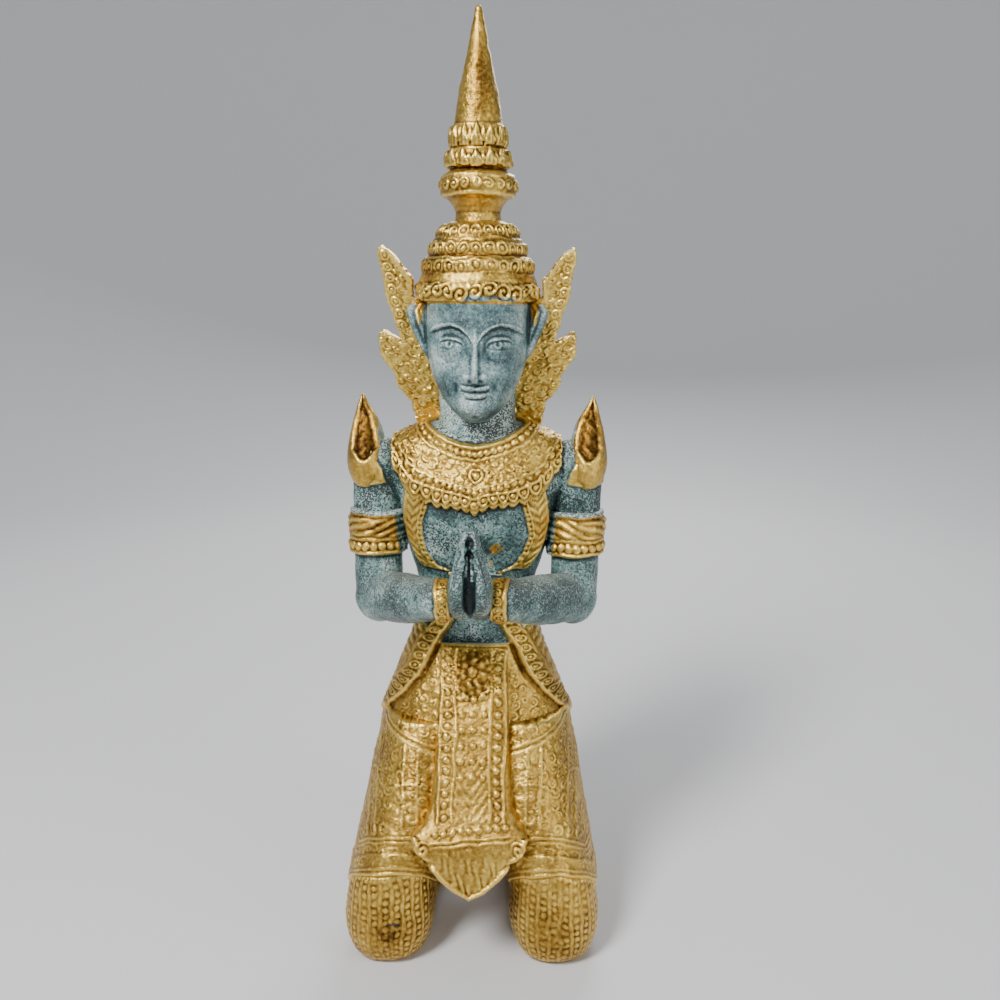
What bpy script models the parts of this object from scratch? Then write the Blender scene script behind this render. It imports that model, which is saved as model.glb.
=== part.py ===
"""Kneeling thepphanom angel with a tiered crown and a tall spire, one hollow brass casting.

The figure faces -Y and kneels on the floor at z = 0. Its forms are lofts, turned profiles,
limbs and cut outlines, fused into one skin, and the broad carving is raised on that skin.
"""
import math

import bmesh
import bpy
import numpy as np
from mathutils import Matrix, Vector

# Heights of the figure's parts in metres, stacked from the floor to the tip of the spire.
LEGS_HEIGHT = 0.0905
TORSO_HEIGHT = 0.060
NECK_HEIGHT = 0.010
FACE_HEIGHT = 0.033
CROWN_HEIGHT = 0.022
SPIRE_HEIGHT = 0.059

# Spreads and reaches, measured from the axis of the spire.
KNEE_SPREAD = 0.0248
SHOULDER_SPREAD = 0.0303
WRIST_SPREAD = 0.0085
HAND_REACH = 0.0505
FOOT_REACH = 0.0430

# Thicknesses of the plates and how far the worn ornaments stand off the skin.
EAR_FLAME_THICKNESS = 0.0034
APRON_THICKNESS = 0.0040
COLLAR_RISE = 0.0014
STRAP_RISE = 0.0009
ARMLET_RISE = 0.0020
BRACELET_RISE = 0.0011
OVERSKIRT_RISE = 0.0013
HEM_RISE = 0.0009

# Where the armlets sit, as lengths along the upper arm.
ARMLET_HEIGHT = 0.0130
ARMLET_BELOW_SHOULDER = 0.0110

# Grain of the fused skin, and the triangles that the finished casting keeps.
SKIN_GRAIN = 0.0008
TRIANGLES = 9300

# The figure's own scale runs from -4.5 on the floor to 270 at the tip, and its stacked
# parts meet at these marks. Widths, depths and carving are counted in the same units.
HEIGHTS = [LEGS_HEIGHT, TORSO_HEIGHT, NECK_HEIGHT, FACE_HEIGHT, CROWN_HEIGHT, SPIRE_HEIGHT]
MARKS = [-4.5, 86.0, 146.0, 156.0, 189.0, 211.0, 270.0]
STACK = [sum(HEIGHTS[:count]) for count in range(len(HEIGHTS) + 1)]
UNIT = STACK[-1] / (MARKS[-1] - MARKS[0])

KNEE_OUT = KNEE_SPREAD / UNIT - 24.8
ARM_OUT = SHOULDER_SPREAD / UNIT - 30.3
HAND_OUT = 50.5 - HAND_REACH / UNIT
FOOT_OUT = FOOT_REACH / UNIT - 43.0
SEAT_Y = (HAND_REACH - FOOT_REACH) / 2


def clear_scene():
    for scene_object in list(bpy.data.objects):
        bpy.data.objects.remove(scene_object, do_unlink=True)


def level(mark):
    """Height in metres of a mark on the figure's own scale."""
    if mark < MARKS[0]:
        return (mark - MARKS[0]) * UNIT
    return float(np.interp(mark, MARKS, STACK))


def point(x, y, mark):
    return Vector((x * UNIT, y * UNIT, level(mark)))


def through(knots, values, at):
    """Smooth curve through the knots, with the slopes of a Catmull-Rom spline."""
    knots = np.asarray(knots, float)
    values = np.asarray(values, float)
    at = np.asarray(at, float)
    slopes = np.gradient(values, knots, axis=0)
    cell = np.clip(np.searchsorted(knots, at, side="right") - 1, 0, len(knots) - 2)
    span = knots[cell + 1] - knots[cell]
    t = (at - knots[cell]) / span
    if values.ndim > 1:
        t = t[:, None]
        span = span[:, None]
    start = (2 * t**3 - 3 * t**2 + 1) * values[cell] + (t**3 - 2 * t**2 + t) * span * slopes[cell]
    end = (3 * t**2 - 2 * t**3) * values[cell + 1] + (t**3 - t**2) * span * slopes[cell + 1]
    return start + end


def loft(forms, rows, steps=36, sides=48, power=2.2, smooth=True):
    """Stack of rounded rings; a row is (mark, x from, x to, y front, y back), upwards."""
    rows = np.asarray(rows, float)
    marks = np.linspace(rows[0, 0], rows[-1, 0], steps)
    if smooth:
        spans = through(rows[:, 0], rows[:, 1:], marks)
    else:
        marks = np.unique(np.concatenate([marks, rows[:, 0]]))
        spans = np.stack([np.interp(marks, rows[:, 0], rows[:, k]) for k in range(1, 5)], axis=1)
    rings = []
    for mark, (x_from, x_to, front, back) in zip(marks, spans):
        ring = []
        for side in range(sides):
            turn = 2 * math.pi * side / sides
            across = math.copysign(abs(math.cos(turn)) ** (2 / power), math.cos(turn))
            along = math.copysign(abs(math.sin(turn)) ** (2 / power), math.sin(turn))
            x = (x_from + x_to) / 2 + (x_to - x_from) / 2 * across
            y = (front + back) / 2 + (back - front) / 2 * along
            ring.append(forms.verts.new(point(x, y, mark)))
        rings.append(ring)
    for lower, upper in zip(rings, rings[1:]):
        for side in range(sides):
            after = (side + 1) % sides
            forms.faces.new((lower[side], lower[after], upper[after], upper[side]))
    forms.faces.new(list(reversed(rings[0])))
    forms.faces.new(rings[-1])


def ball(forms, centre, radii):
    """Ellipsoid at (x, y, mark) with radii on the figure's scale."""
    place = Matrix.Translation(point(*centre))
    size = Matrix.Diagonal(Vector([radius * UNIT for radius in radii])).to_4x4()
    bmesh.ops.create_uvsphere(forms, u_segments=32, v_segments=20, radius=1.0, matrix=place @ size)


def add_object(forms, maker, matrix=None):
    """Read a curve or mesh object's shape into the forms, and drop the object."""
    shape = maker.evaluated_get(bpy.context.evaluated_depsgraph_get())
    mesh = bpy.data.meshes.new_from_object(shape)
    if matrix is not None:
        mesh.transform(matrix)
    forms.from_mesh(mesh)
    data = maker.data
    bpy.data.objects.remove(maker, do_unlink=True)
    bpy.data.meshes.remove(mesh)
    if isinstance(data, bpy.types.Curve):
        bpy.data.curves.remove(data)


def limb(forms, stations, pieces=14):
    """Round limb through stations of (x, y, mark, radius)."""
    stations = np.asarray(stations, float)
    gaps = np.linalg.norm(np.diff(stations[:, :3], axis=0), axis=1)
    along = np.concatenate([[0.0], np.cumsum(gaps)])
    path = through(along, stations, np.linspace(0, along[-1], pieces))
    curve = bpy.data.curves.new("limb", "CURVE")
    curve.dimensions = "3D"
    curve.bevel_depth = 1.0
    curve.bevel_resolution = 6
    curve.use_fill_caps = True
    line = curve.splines.new("POLY")
    line.points.add(len(path) - 1)
    for knot, (x, y, mark, radius) in zip(line.points, path):
        knot.co = (*point(x, y, mark), 1.0)
        knot.radius = radius * UNIT
    maker = bpy.data.objects.new("limb", curve)
    bpy.context.collection.objects.link(maker)
    bpy.context.view_layer.update()
    add_object(forms, maker)
    for x, y, mark, radius in (path[0], path[-1]):
        ball(forms, (x, y, mark), (radius, radius, radius))


def turned(forms, profile, around=(0.0, 0.0)):
    """Turned form: (mark, radius) pairs from the top down, spun with a Screw modifier."""
    mesh = bpy.data.meshes.new("profile")
    points = [(radius * UNIT, 0.0, level(mark)) for mark, radius in profile]
    points = [(0.0, 0.0, points[0][2])] + points + [(0.0, 0.0, points[-1][2])]
    mesh.from_pydata(points, [(k, k + 1) for k in range(len(points) - 1)], [])
    maker = bpy.data.objects.new("profile", mesh)
    bpy.context.collection.objects.link(maker)
    screw = maker.modifiers.new("Screw", "SCREW")
    screw.steps = 64
    screw.render_steps = 64
    screw.use_merge_vertices = True
    screw.merge_threshold = 0.00001
    bpy.context.view_layer.update()
    add_object(forms, maker, Matrix.Translation((around[0] * UNIT, around[1] * UNIT, 0.0)))
    bpy.data.meshes.remove(mesh)


def plate(forms, outline, thickness, middle, lean):
    """Upright plate cut to an outline of (x, mark) and leaning back by an angle."""
    curve = bpy.data.curves.new("plate", "CURVE")
    curve.dimensions = "2D"
    curve.fill_mode = "BOTH"
    curve.extrude = thickness / 2
    line = curve.splines.new("POLY")
    line.use_cyclic_u = True
    line.points.add(len(outline) - 1)
    pivot = level(middle[1])
    for knot, (x, mark) in zip(line.points, outline):
        knot.co = (x * UNIT, level(mark) - pivot, 0.0, 1.0)
    maker = bpy.data.objects.new("plate", curve)
    bpy.context.collection.objects.link(maker)
    bpy.context.view_layer.update()
    stand = Matrix.Rotation(math.pi / 2 - lean, 4, "X")
    place = Matrix.Translation((0.0, middle[0] * UNIT, pivot))
    add_object(forms, maker, place @ stand)


def mirrored(rows, side):
    """Rows of (mark, x from, x to, front, back) on one side of the figure."""
    if side > 0:
        return rows
    return [(row[0], -row[2], -row[1], row[3], row[4]) for row in rows]


def add_legs(forms):
    lap = [(28, 13, -33, 20), (38.7, 27, -34, 25.5), (48, 29.2, -30.5, 27), (58.5, 29.2, -26.5, 24.5)]
    lap += [(69, 25.8, -22.5, 20.5), (80, 21.5, -18.2, 16), (87.7, 18.8, -15.2, 13.2)]
    loft(forms, [(mark, -half, half, front, back) for mark, half, front, back in lap])
    knee = [(-7.5, 20, 30, -33, -18), (-3.8, 15.4, 34.6, -38, -16), (1.5, 12.6, 37.2, -40.9, -14)]
    knee += [(8, 11.4, 38.0, -41.9, -13), (15, 11.4, 37.2, -41.8, -12), (22, 11.4, 36.2, -41, -10)]
    thigh = [(12, 12.2, 36.6, -41.4, -8), (17, 11.6, 36.6, -41.6, 0), (23, 10.4, 35.8, -41.0, 8)]
    thigh += [(31, 8, 34.2, -38.8, 17), (39.6, 4.5, 32.6, -35.5, 24), (50, 2.5, 30.7, -31, 26)]
    thigh += [(64.5, 2, 27, -24, 20)]
    for side in (-1, 1):
        stump = [(row[0], row[1] + KNEE_OUT, row[2] + KNEE_OUT, row[3], row[4]) for row in knee]
        loft(forms, mirrored(stump, side), steps=24, power=2.3)
        rows = [(row[0], row[1] + KNEE_OUT, row[2] + KNEE_OUT, row[3], row[4]) for row in thigh]
        rows[-1] = thigh[-1]
        loft(forms, mirrored(rows, side), power=2.3)
        ball(forms, (side * 11.5, 17, 46), (14, 13.5, 14.5))
        shin = [(side * (24.8 + KNEE_OUT), -24, 8.6, 12.6), (side * (21 + KNEE_OUT), 0, 7.6, 11.4)]
        shin += [(side * 15, 27 + FOOT_OUT, 5.2, 7.6)]
        limb(forms, shin)
        foot = [(side * 13.2, 27 + FOOT_OUT, 25.5, 7.0), (side * 12.8, 32 + FOOT_OUT, 14, 6.9)]
        foot += [(side * 12.5, 35.6 + FOOT_OUT, 2.2, 6.8)]
        limb(forms, foot, pieces=8)
        for toe in range(5):
            reach = 40.6 + FOOT_OUT - 0.5 * toe
            ball(forms, (side * (7.4 + 2.5 * toe), reach, -2.4), (1.7, 2.7, 2.5 - 0.15 * toe))


def add_apron(forms):
    """Long front panel, flared into a pointed leaf at its foot."""
    deep = APRON_THICKNESS / UNIT
    leaf = [(22.3, 0.8, -47, 3.0), (24.4, 4.8, -46.7, 3.1), (27.4, 8.8, -46.1, 3.3)]
    leaf += [(30.8, 12, -45.3, 3.6), (34.6, 15, -44.3, 4.0), (38, 17, -43.2, 4.5)]
    rows = [(mark, -half, half, front, front + share * deep / 4.0) for mark, half, front, share in leaf]
    panel = [(41.5, 13.2, -41.2, -33), (45.5, 11.8, -38.8, -26), (49, 11.5, -37, -24)]
    panel += [(66, 10.5, -29.2, -18), (80, 10.2, -21.5, -10), (86.6, 10, -17.8, -8)]
    rows += [(mark, -half, half, front, back) for mark, half, front, back in panel]
    loft(forms, rows, steps=40, power=5.0, smooth=False)


def add_torso(forms):
    rows = [(80, 19.5, -15, 13), (90.2, 17.7, -13.2, 11.5), (98, 16.8, -12.6, 10.8)]
    rows += [(106.4, 18.5, -13.6, 11.2), (114.8, 21, -15.6, 12), (123.2, 22.6, -17, 13)]
    rows += [(131, 24.5, -16.5, 13.5), (137.6, 28.5, -14.2, 13), (142, 28, -12.4, 12.6)]
    rows += [(145.4, 26, -11.4, 12.2), (148.4, 22.5, -10.2, 11.6), (150.6, 17.5, -8.6, 11)]
    rows += [(152.6, 13, -7.2, 10)]
    loft(forms, [(mark, -half, half, front, back) for mark, half, front, back in rows], steps=60)
    neck = [(142, 14, -10.5, 11), (148, 12.7, -9.8, 10.2), (153, 12.2, -9.6, 9.8), (163, 12, -10, 11)]
    loft(forms, [(mark, -half, half, front, back) for mark, half, front, back in neck])


def add_arms(forms):
    for side in (-1, 1):
        shoulder = side * (30.3 + ARM_OUT)
        elbow = side * (29.6 + ARM_OUT)
        wrist = side * WRIST_SPREAD / UNIT
        ball(forms, (side * (29 + ARM_OUT), 0.5, 138), (9.0, 8.6, 9.6))
        limb(forms, [(shoulder, 0, 137, 7.7), (shoulder, -2.5, 118, 7.4), (elbow, -6, 99, 7.2)])
        ball(forms, (elbow, -6.6, 99), (7.2, 7.4, 7.6))
        halfway = (elbow + wrist) / 2
        lower = [(elbow, -6.5, 99.5, 7.5), (halfway, -22 + HAND_OUT / 2, 103.2, 7.3)]
        lower += [(wrist, -37.5 + HAND_OUT, 107.4, 5.3)]
        limb(forms, lower)
        palm = [(103.5, -0.3, 4.8, -42.5, -34.5), (107, -0.3, 6.0, -47, -34.5)]
        palm += [(112, -0.2, 5.9, -50, -36.5), (118, 0.0, 4.7, -50.5, -39.5)]
        palm += [(124, 0.1, 3.4, -49.6, -42.5), (127.3, 0.1, 2.4, -48.6, -43.6)]
        palm += [(128.9, 0.1, 1.4, -47.3, -44.6)]
        palm = [(row[0], row[1], row[2], row[3] + HAND_OUT, row[4] + HAND_OUT) for row in palm]
        loft(forms, mirrored(palm, side), steps=24, sides=32, power=2.4)
        add_horn(forms, side)


def add_horn(forms, side):
    """Flame-shaped finial that rises from the epaulette on each shoulder."""
    rows = [(133.4, 30.4, 36, -8.2, -1), (136, 27.6, 38.2, -9.5, 4), (140, 27.2, 39.4, -9.7, 6)]
    rows += [(144, 27.8, 39.4, -8.6, 6.6), (147.5, 28.4, 38.9, -6.6, 6.6), (151, 29.4, 38.2, -4.6, 6)]
    rows += [(154.5, 31.2, 37.2, -2.4, 5), (158, 33.4, 36.4, -0.2, 4.2), (160.6, 34.6, 35.4, 1.2, 3)]
    rows = [(row[0], row[1] + ARM_OUT, row[2] + ARM_OUT, row[3], row[4]) for row in rows]
    loft(forms, mirrored(rows, side), steps=24, sides=32, power=2.0)


def add_head(forms):
    rows = [(153.6, 3.5, -12, 4), (156, 6.6, -15.8, 8), (160, 10.1, -16.8, 12), (164, 12.1, -17.1, 14)]
    rows += [(168.5, 13.7, -17.3, 15.2), (174, 15.0, -17.4, 16.2), (180, 15.4, -17.3, 16.8)]
    rows += [(187, 15.2, -16.9, 17), (192.5, 15, -16.4, 16.6), (201, 10, -11, 11)]
    loft(forms, [(mark, -half, half, front, back) for mark, half, front, back in rows], steps=50)
    for side in (-1, 1):
        ear = [(168.5, 12.8, 15.6, -3, 3), (172, 13.4, 16.6, -4.6, 3), (177, 14, 18.4, -5.2, 3.6)]
        ear += [(182, 14.4, 20.4, -5.2, 4), (185.6, 14.6, 21.2, -4.4, 4), (187.8, 14.8, 19.6, -3, 3)]
        loft(forms, mirrored(ear, side), steps=20, sides=32)
        add_ear_flame(forms, side)


def add_ear_flame(forms, side):
    """Pierced-looking flame ornament that rises behind the ear and hangs in front of the lobe."""
    upper = [(11, 186), (19.5, 190), (19, 194.5), (22.3, 199), (24.3, 202), (28.1, 204.6)]
    upper += [(28.9, 203), (28.3, 199.8), (27.5, 196.2), (27.3, 193.4), (26.7, 188.6), (25.7, 187)]
    upper += [(24.9, 183.4), (23.9, 180.6), (22.9, 176.2)]
    lower = [(26.4, 178.2), (28.8, 179.6), (29.5, 177.4), (29.3, 173.4), (27.7, 170.2), (25.1, 166.5)]
    lower += [(24.9, 163.3), (23.1, 161), (20.6, 157.6), (19.8, 154), (19.2, 150.4)]
    lower += [(16.7, 148.8), (12.8, 149.8), (10.8, 153), (9, 160)]
    outline = [(side * x, mark) for x, mark in upper + lower]
    if side < 0:
        outline.reverse()
    plate(forms, outline, EAR_FLAME_THICKNESS, (2.0, 178), -0.24)


def add_crown(forms):
    """Tiers of the crown and the banded spire, turned about the axis."""
    profile = [(270, 0.4), (269.2, 1.1), (264, 2.2), (258.2, 3.2), (247.5, 5.7), (238, 7.0)]
    profile += [(237.4, 7.6), (234, 8.1), (231.2, 7.8), (230.7, 8.8), (228, 9.5), (225.9, 9.0)]
    profile += [(225.3, 8.2), (224.2, 10.2), (223, 11.0), (220.7, 11.4), (218.4, 10.8), (217.6, 9.8)]
    profile += [(217.1, 8.8), (215, 7.2), (213.5, 6.6), (212, 6.8), (211.2, 7.4), (210.6, 9.6)]
    profile += [(210, 10.6), (208, 12.0), (206, 12.8), (205.5, 13.2), (204.6, 14.0), (202, 14.4)]
    profile += [(201.2, 14.3), (200.8, 15.6), (199.6, 16.5), (196.6, 16.9), (195.6, 16.8), (195, 17.7)]
    profile += [(193.6, 18.0), (193, 17.8), (192.4, 18.5), (189.4, 18.5), (188.4, 17.6), (188, 14.0)]
    turned(forms, profile)


def smooth_step(low, high, value):
    t = np.clip((value - low) / (high - low), 0.0, 1.0)
    return t * t * (3 - 2 * t)


def hump(value, centre, width):
    return np.exp(-(((value - centre) / width) ** 2))


def face_relief(x, mark):
    """How far the face stands forward of the plain head, on the figure's scale."""
    away = np.abs(x)
    ridge = through([160, 164.9, 165.6, 166.8, 168, 171, 175, 178.5, 186, 190],
                    [0, 0, 2.2, 3.5, 3.3, 2.3, 1.3, 0.7, 0, 0], np.clip(mark, 160, 190))
    width = np.interp(mark, [165, 168, 173, 179], [1.5, 1.25, 0.95, 1.2])
    rise = ridge * np.exp(-((away / width) ** 2))
    rise += 0.9 * hump(away, 2.1, 0.8) * hump(mark, 166.9, 1.2)
    arch = np.interp(away, [0.4, 2, 4.5, 7.2, 10, 12.5, 14], [176.6, 179.4, 181.4, 182.2, 181.8, 180.8, 179.8])
    under = smooth_step(-0.2, 1.2, arch - mark) * smooth_step(9.5, 2.0, arch - mark)
    rise -= 1.1 * under * smooth_step(1.6, 3.0, away) * smooth_step(13.6, 11.0, away)
    rise += 0.35 * hump(mark - arch, 0.4, 0.7) * smooth_step(14, 12, away)
    eye = np.clip(1 - ((away - 6.8) / 3.7) ** 2 - ((mark - 176.1) / 2.1) ** 2, 0, 1)
    rise += 1.2 * np.sqrt(eye)
    rise += 0.7 * hump(away, 8.2, 4.0) * hump(mark, 168.5, 4.0)
    lips = smooth_step(4.6, 3.2, away)
    line = 163.5 + 0.09 * away**2
    rise += 1.15 * lips * hump(mark, line + 0.95, 0.75) * (1 - 0.25 * hump(away, 0, 0.7))
    rise += 1.3 * smooth_step(4.0, 2.4, away) * hump(mark, line - 1.35, 1.0)
    rise -= 0.45 * lips * hump(mark, line, 0.35)
    rise -= 0.4 * hump(away, 7, 1.0) * hump(mark, 164.8, 1.6)
    rise += 0.8 * hump(away, 0, 3.0) * hump(mark, 158.0, 2.0)
    return rise


def collar_share(x, y, mark):
    """0 at the neck and 1 at the lappets' tips, measured over the shoulders and chest."""
    turn = np.arctan2(x, -y)
    out = np.hypot(x, y * 1.15) - 12.5 + 0.9 * (145.2 + 0.33 * (y + 12) - mark)
    edge = np.interp(np.abs(turn), [0, 0.4, 0.8, 1.0, 1.3, 2], [19.6, 20, 21, 22.2, 18.6, 17.2])
    return out / (edge + 1.5 * hump(turn, 0, 0.14) + 0.9 * np.abs(np.cos(turn * 9)))


def carving(x, y, mark, normal):
    """Rise of the broad carving on the skin, on the figure's scale."""
    rise = np.zeros_like(x)
    away = np.abs(x)
    front = smooth_step(0.25, -0.25, normal[:, 1])
    face = front * smooth_step(15.6, 13.5, away) * smooth_step(188, 186, mark)
    face *= (mark > 154) & (y < -4)
    rise += face * face_relief(x, mark)

    collar = collar_share(x, y, mark)
    worn = (mark > 122) & (mark < 155) & (away < 27.6) & (y > -26)
    edge = smooth_step(1.03, 0.97, collar) * smooth_step(-0.12, 0.0, collar)
    rise += worn * edge * (COLLAR_RISE / UNIT) * (1 + 0.25 * hump(collar, 0.75, 0.05))

    chest = (y < 0) & (normal[:, 1] < 0.1) & (mark > 106) & (mark < 137) & (y > -24)
    outer = np.interp(mark, [110, 111, 114, 118.7, 124, 130, 136], [14.6, 16.2, 18.4, 20.3, 21.4, 21.2, 20])
    cord = np.interp(mark, [108.6, 109.6, 111.5, 115, 120.7, 124.7, 131, 136], [0, 7.7, 12, 15, 16.3, 16, 14.4, 13])
    strap = smooth_step(cord + 0.3, cord + 0.9, away) * smooth_step(outer + 0.3, outer - 0.3, away)
    strap *= smooth_step(109.8, 110.6, mark)
    edging = smooth_step(1.1, 0.6, np.abs(away - cord)) * smooth_step(106.9, 107.6, mark)
    bare = smooth_step(0.98, 1.02, collar) * chest * (away < 23)
    rise += bare * np.maximum(0.8 * strap, edging) * (STRAP_RISE / UNIT)

    arm_top = 137 - ARMLET_BELOW_SHOULDER / UNIT
    arm_end = arm_top - ARMLET_HEIGHT / UNIT
    arm = (away > 23.2 + ARM_OUT) & (y > -16)
    band = smooth_step(arm_top + 0.4, arm_top - 0.4, mark) * smooth_step(arm_end - 0.4, arm_end + 0.4, mark)
    rolls = 0.75 + 0.25 * np.cos((mark - arm_end) / (arm_top - arm_end) * 6 * math.pi)
    inner = smooth_step(23.0, 24.5, away - ARM_OUT)
    rise += arm * band * rolls * inner * (ARMLET_RISE / UNIT)

    wrist = WRIST_SPREAD / UNIT + 1.0
    cuff = smooth_step(2.1, 1.6, np.abs(away - wrist)) * (mark < 118) * (mark > 98)
    rise += cuff * (y < -27 + HAND_OUT) * (y > -48 + HAND_OUT) * (BRACELET_RISE / UNIT)

    border = np.interp(mark, [57, 60, 67, 77, 86, 95], [33, 30, 24, 16, 11.6, 6])
    over = smooth_step(-0.4, 0.4, away - border)
    over = np.where(y > -2, 1.0, over)
    hem = 58.6 + 1.4 * np.cos(np.arctan2(x, -y) * 4)
    over *= smooth_step(hem - 0.5, hem + 0.5, mark)
    waist = np.where(y < 0, np.interp(away, [10, 17], [87.2, 94]), 94)
    over *= smooth_step(waist + 0.5, waist - 0.5, mark) * (y > -34)
    edging = smooth_step(3.8, 3.0, np.abs(away - border - 1.8)) * (y < -2)
    hemming = smooth_step(3.4, 2.6, mark - hem)
    flare = smooth_step(8, 0, mark - hem) * smooth_step(18, 27, away)
    rise += over * (OVERSKIRT_RISE / UNIT) * (1 + 0.4 * np.maximum(edging, hemming) + 0.7 * flare)
    belly = smooth_step(-0.4, 0.4, away - border) * smooth_step(border + 4.2, border + 3.4, away)
    rise += belly * (mark > 88) * (mark < 97) * (y < -4) * (y > -24) * (away < 14) * (STRAP_RISE / UNIT)

    hemline = np.interp(y, [-43, -28, -12, 6, 20], [28, 16.2, 14.6, 17, 24])
    cloth = smooth_step(-0.5, 0.3, mark - hemline) * (mark < 58)
    band = smooth_step(7.4, 6.6, mark - hemline)
    rise += cloth * (HEM_RISE / UNIT) * (1 + 0.5 * band)
    rise += (mark < 58) * smooth_step(1.3, 0.7, np.abs(mark - hemline - 11.5)) * 0.4 * (y < 16)

    panel = (away < 9.6) & (y < -16) & (mark < 88) & (mark > 44)
    rise += panel * smooth_step(1.7, 1.1, np.abs(away - 7.6)) * 0.8
    rise += panel * np.clip(1.0 - np.hypot(x, mark - 80.5) / 6.5, 0, 1) * 3.2
    return rise


def fused(forms, name):
    """Fuse the overlapping forms into one skin with a Remesh modifier."""
    bmesh.ops.recalc_face_normals(forms, faces=forms.faces)
    mesh = bpy.data.meshes.new(name)
    forms.to_mesh(mesh)
    forms.free()
    skin = bpy.data.objects.new(name, mesh)
    bpy.context.collection.objects.link(skin)
    remesh = skin.modifiers.new("Fuse", "REMESH")
    remesh.mode = "VOXEL"
    remesh.voxel_size = SKIN_GRAIN
    soften = skin.modifiers.new("Soften", "SMOOTH")
    soften.factor = 0.5
    soften.iterations = 2
    bpy.context.view_layer.update()
    shape = skin.evaluated_get(bpy.context.evaluated_depsgraph_get())
    solid = bpy.data.meshes.new_from_object(shape)
    solid.name = name
    bpy.data.objects.remove(skin, do_unlink=True)
    bpy.data.meshes.remove(mesh)
    return solid


def carve(mesh):
    """Raise the broad carving along the skin's normals."""
    count = len(mesh.vertices)
    spots = np.zeros(count * 3)
    mesh.vertices.foreach_get("co", spots)
    spots = spots.reshape(-1, 3)
    normals = np.zeros(count * 3, dtype=np.float32)
    mesh.vertex_normals.foreach_get("vector", normals)
    normals = normals.reshape(-1, 3).astype(float)
    marks = np.interp(spots[:, 2], STACK, MARKS)
    rise = carving(spots[:, 0] / UNIT, spots[:, 1] / UNIT, marks, normals)
    spots += normals * (rise * UNIT)[:, None]
    mesh.vertices.foreach_set("co", spots.ravel())
    mesh.update()


def brass_material():
    """Gilded brass: warm gold that has dulled to brown in its recesses."""
    material = bpy.data.materials.new("gilded_brass")
    material.use_nodes = True
    shader = material.node_tree.nodes["Principled BSDF"]
    shader.inputs["Base Color"].default_value = (0.62, 0.43, 0.15, 1.0)
    shader.inputs["Metallic"].default_value = 0.6
    shader.inputs["Roughness"].default_value = 0.5
    material.diffuse_color = (0.62, 0.43, 0.15, 1.0)
    return material


def build_figure(collection, cutters):
    forms = bmesh.new()
    add_legs(forms)
    add_apron(forms)
    add_torso(forms)
    add_arms(forms)
    add_head(forms)
    add_crown(forms)
    mesh = fused(forms, "angel_figure")
    carve(mesh)
    mesh.transform(Matrix.Translation((0.0, SEAT_Y, 0.0)))
    figure = bpy.data.objects.new("angel_figure", mesh)
    collection.objects.link(figure)
    mesh.materials.clear()
    mesh.materials.append(brass_material())

    thin = figure.modifiers.new("Facets", "DECIMATE")
    thin.ratio = TRIANGLES / (2 * len(mesh.polygons))
    thin.use_collapse_triangulate = True

    floor = bpy.data.meshes.new("floor_cut")
    block = bmesh.new()
    bmesh.ops.create_cube(block, size=1.0)
    block.to_mesh(floor)
    block.free()
    cutter = bpy.data.objects.new("floor_cut", floor)
    deep = 20 * UNIT
    cutter.scale = (STACK[-1], STACK[-1], deep)
    cutter.location = (0.0, 0.0, -deep / 2)
    cutter.hide_render = True
    cutter.display_type = "WIRE"
    cutters.objects.link(cutter)
    rest = figure.modifiers.new("FlatUnderside", "BOOLEAN")
    rest.operation = "DIFFERENCE"
    rest.object = cutter
    return figure


def main():
    clear_scene()
    collection = bpy.data.collections.new("thepphanom_angel")
    bpy.context.scene.collection.children.link(collection)
    cutters = bpy.data.collections.new("cutters")
    bpy.context.scene.collection.children.link(cutters)
    build_figure(collection, cutters)


main()
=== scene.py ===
import math
from itertools import product

import bmesh
import bpy
import numpy as np
from mathutils import Matrix, Vector


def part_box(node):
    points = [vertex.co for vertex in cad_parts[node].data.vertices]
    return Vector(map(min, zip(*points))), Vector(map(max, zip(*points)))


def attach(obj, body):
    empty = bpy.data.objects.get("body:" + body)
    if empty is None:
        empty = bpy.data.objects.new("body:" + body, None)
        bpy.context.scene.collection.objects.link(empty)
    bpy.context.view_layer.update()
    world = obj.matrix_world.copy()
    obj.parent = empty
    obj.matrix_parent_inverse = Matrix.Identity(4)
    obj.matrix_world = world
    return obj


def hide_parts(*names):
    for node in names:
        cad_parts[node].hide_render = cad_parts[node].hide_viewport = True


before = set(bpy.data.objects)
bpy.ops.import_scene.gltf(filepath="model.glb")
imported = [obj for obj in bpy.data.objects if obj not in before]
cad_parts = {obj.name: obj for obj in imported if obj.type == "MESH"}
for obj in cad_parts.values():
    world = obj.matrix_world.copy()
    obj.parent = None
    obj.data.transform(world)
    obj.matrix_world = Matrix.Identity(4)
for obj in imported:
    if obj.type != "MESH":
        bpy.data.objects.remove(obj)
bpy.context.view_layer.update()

# Knees, shins and feet. They carry the whole figure on the floor, brass cast hollow with the rest.
# The knees are wrapped in beaded cloth that was gilded by hand, and the bare feet kept the patina.

# The figure's own scale counts 274.4 marks, from the floor at -4.5 to the tip of the spire.
FIGURE_MARKS = 274.4
FLOOR_MARK = -4.5
AXIS_BEHIND_MIDDLE = 3.75
low_corner, high_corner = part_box("angel_figure")
MARK = (high_corner.z - low_corner.z) / FIGURE_MARKS
AXIS_Y = AXIS_BEHIND_MIDDLE * MARK

# Tones of each finish from the deepest recess, in painted shade, to the raised edge, in painted highlight.
GOLD = {"deep": (0.040, 0.016, 0.003), "dull": (0.19, 0.092, 0.013), "mid": (0.47, 0.28, 0.048),
        "bright": (0.84, 0.58, 0.135)}
PATINA = {"deep": (0.005, 0.015, 0.015), "dull": (0.036, 0.088, 0.086), "mid": (0.155, 0.268, 0.252),
          "bright": (0.50, 0.61, 0.57)}


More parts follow.
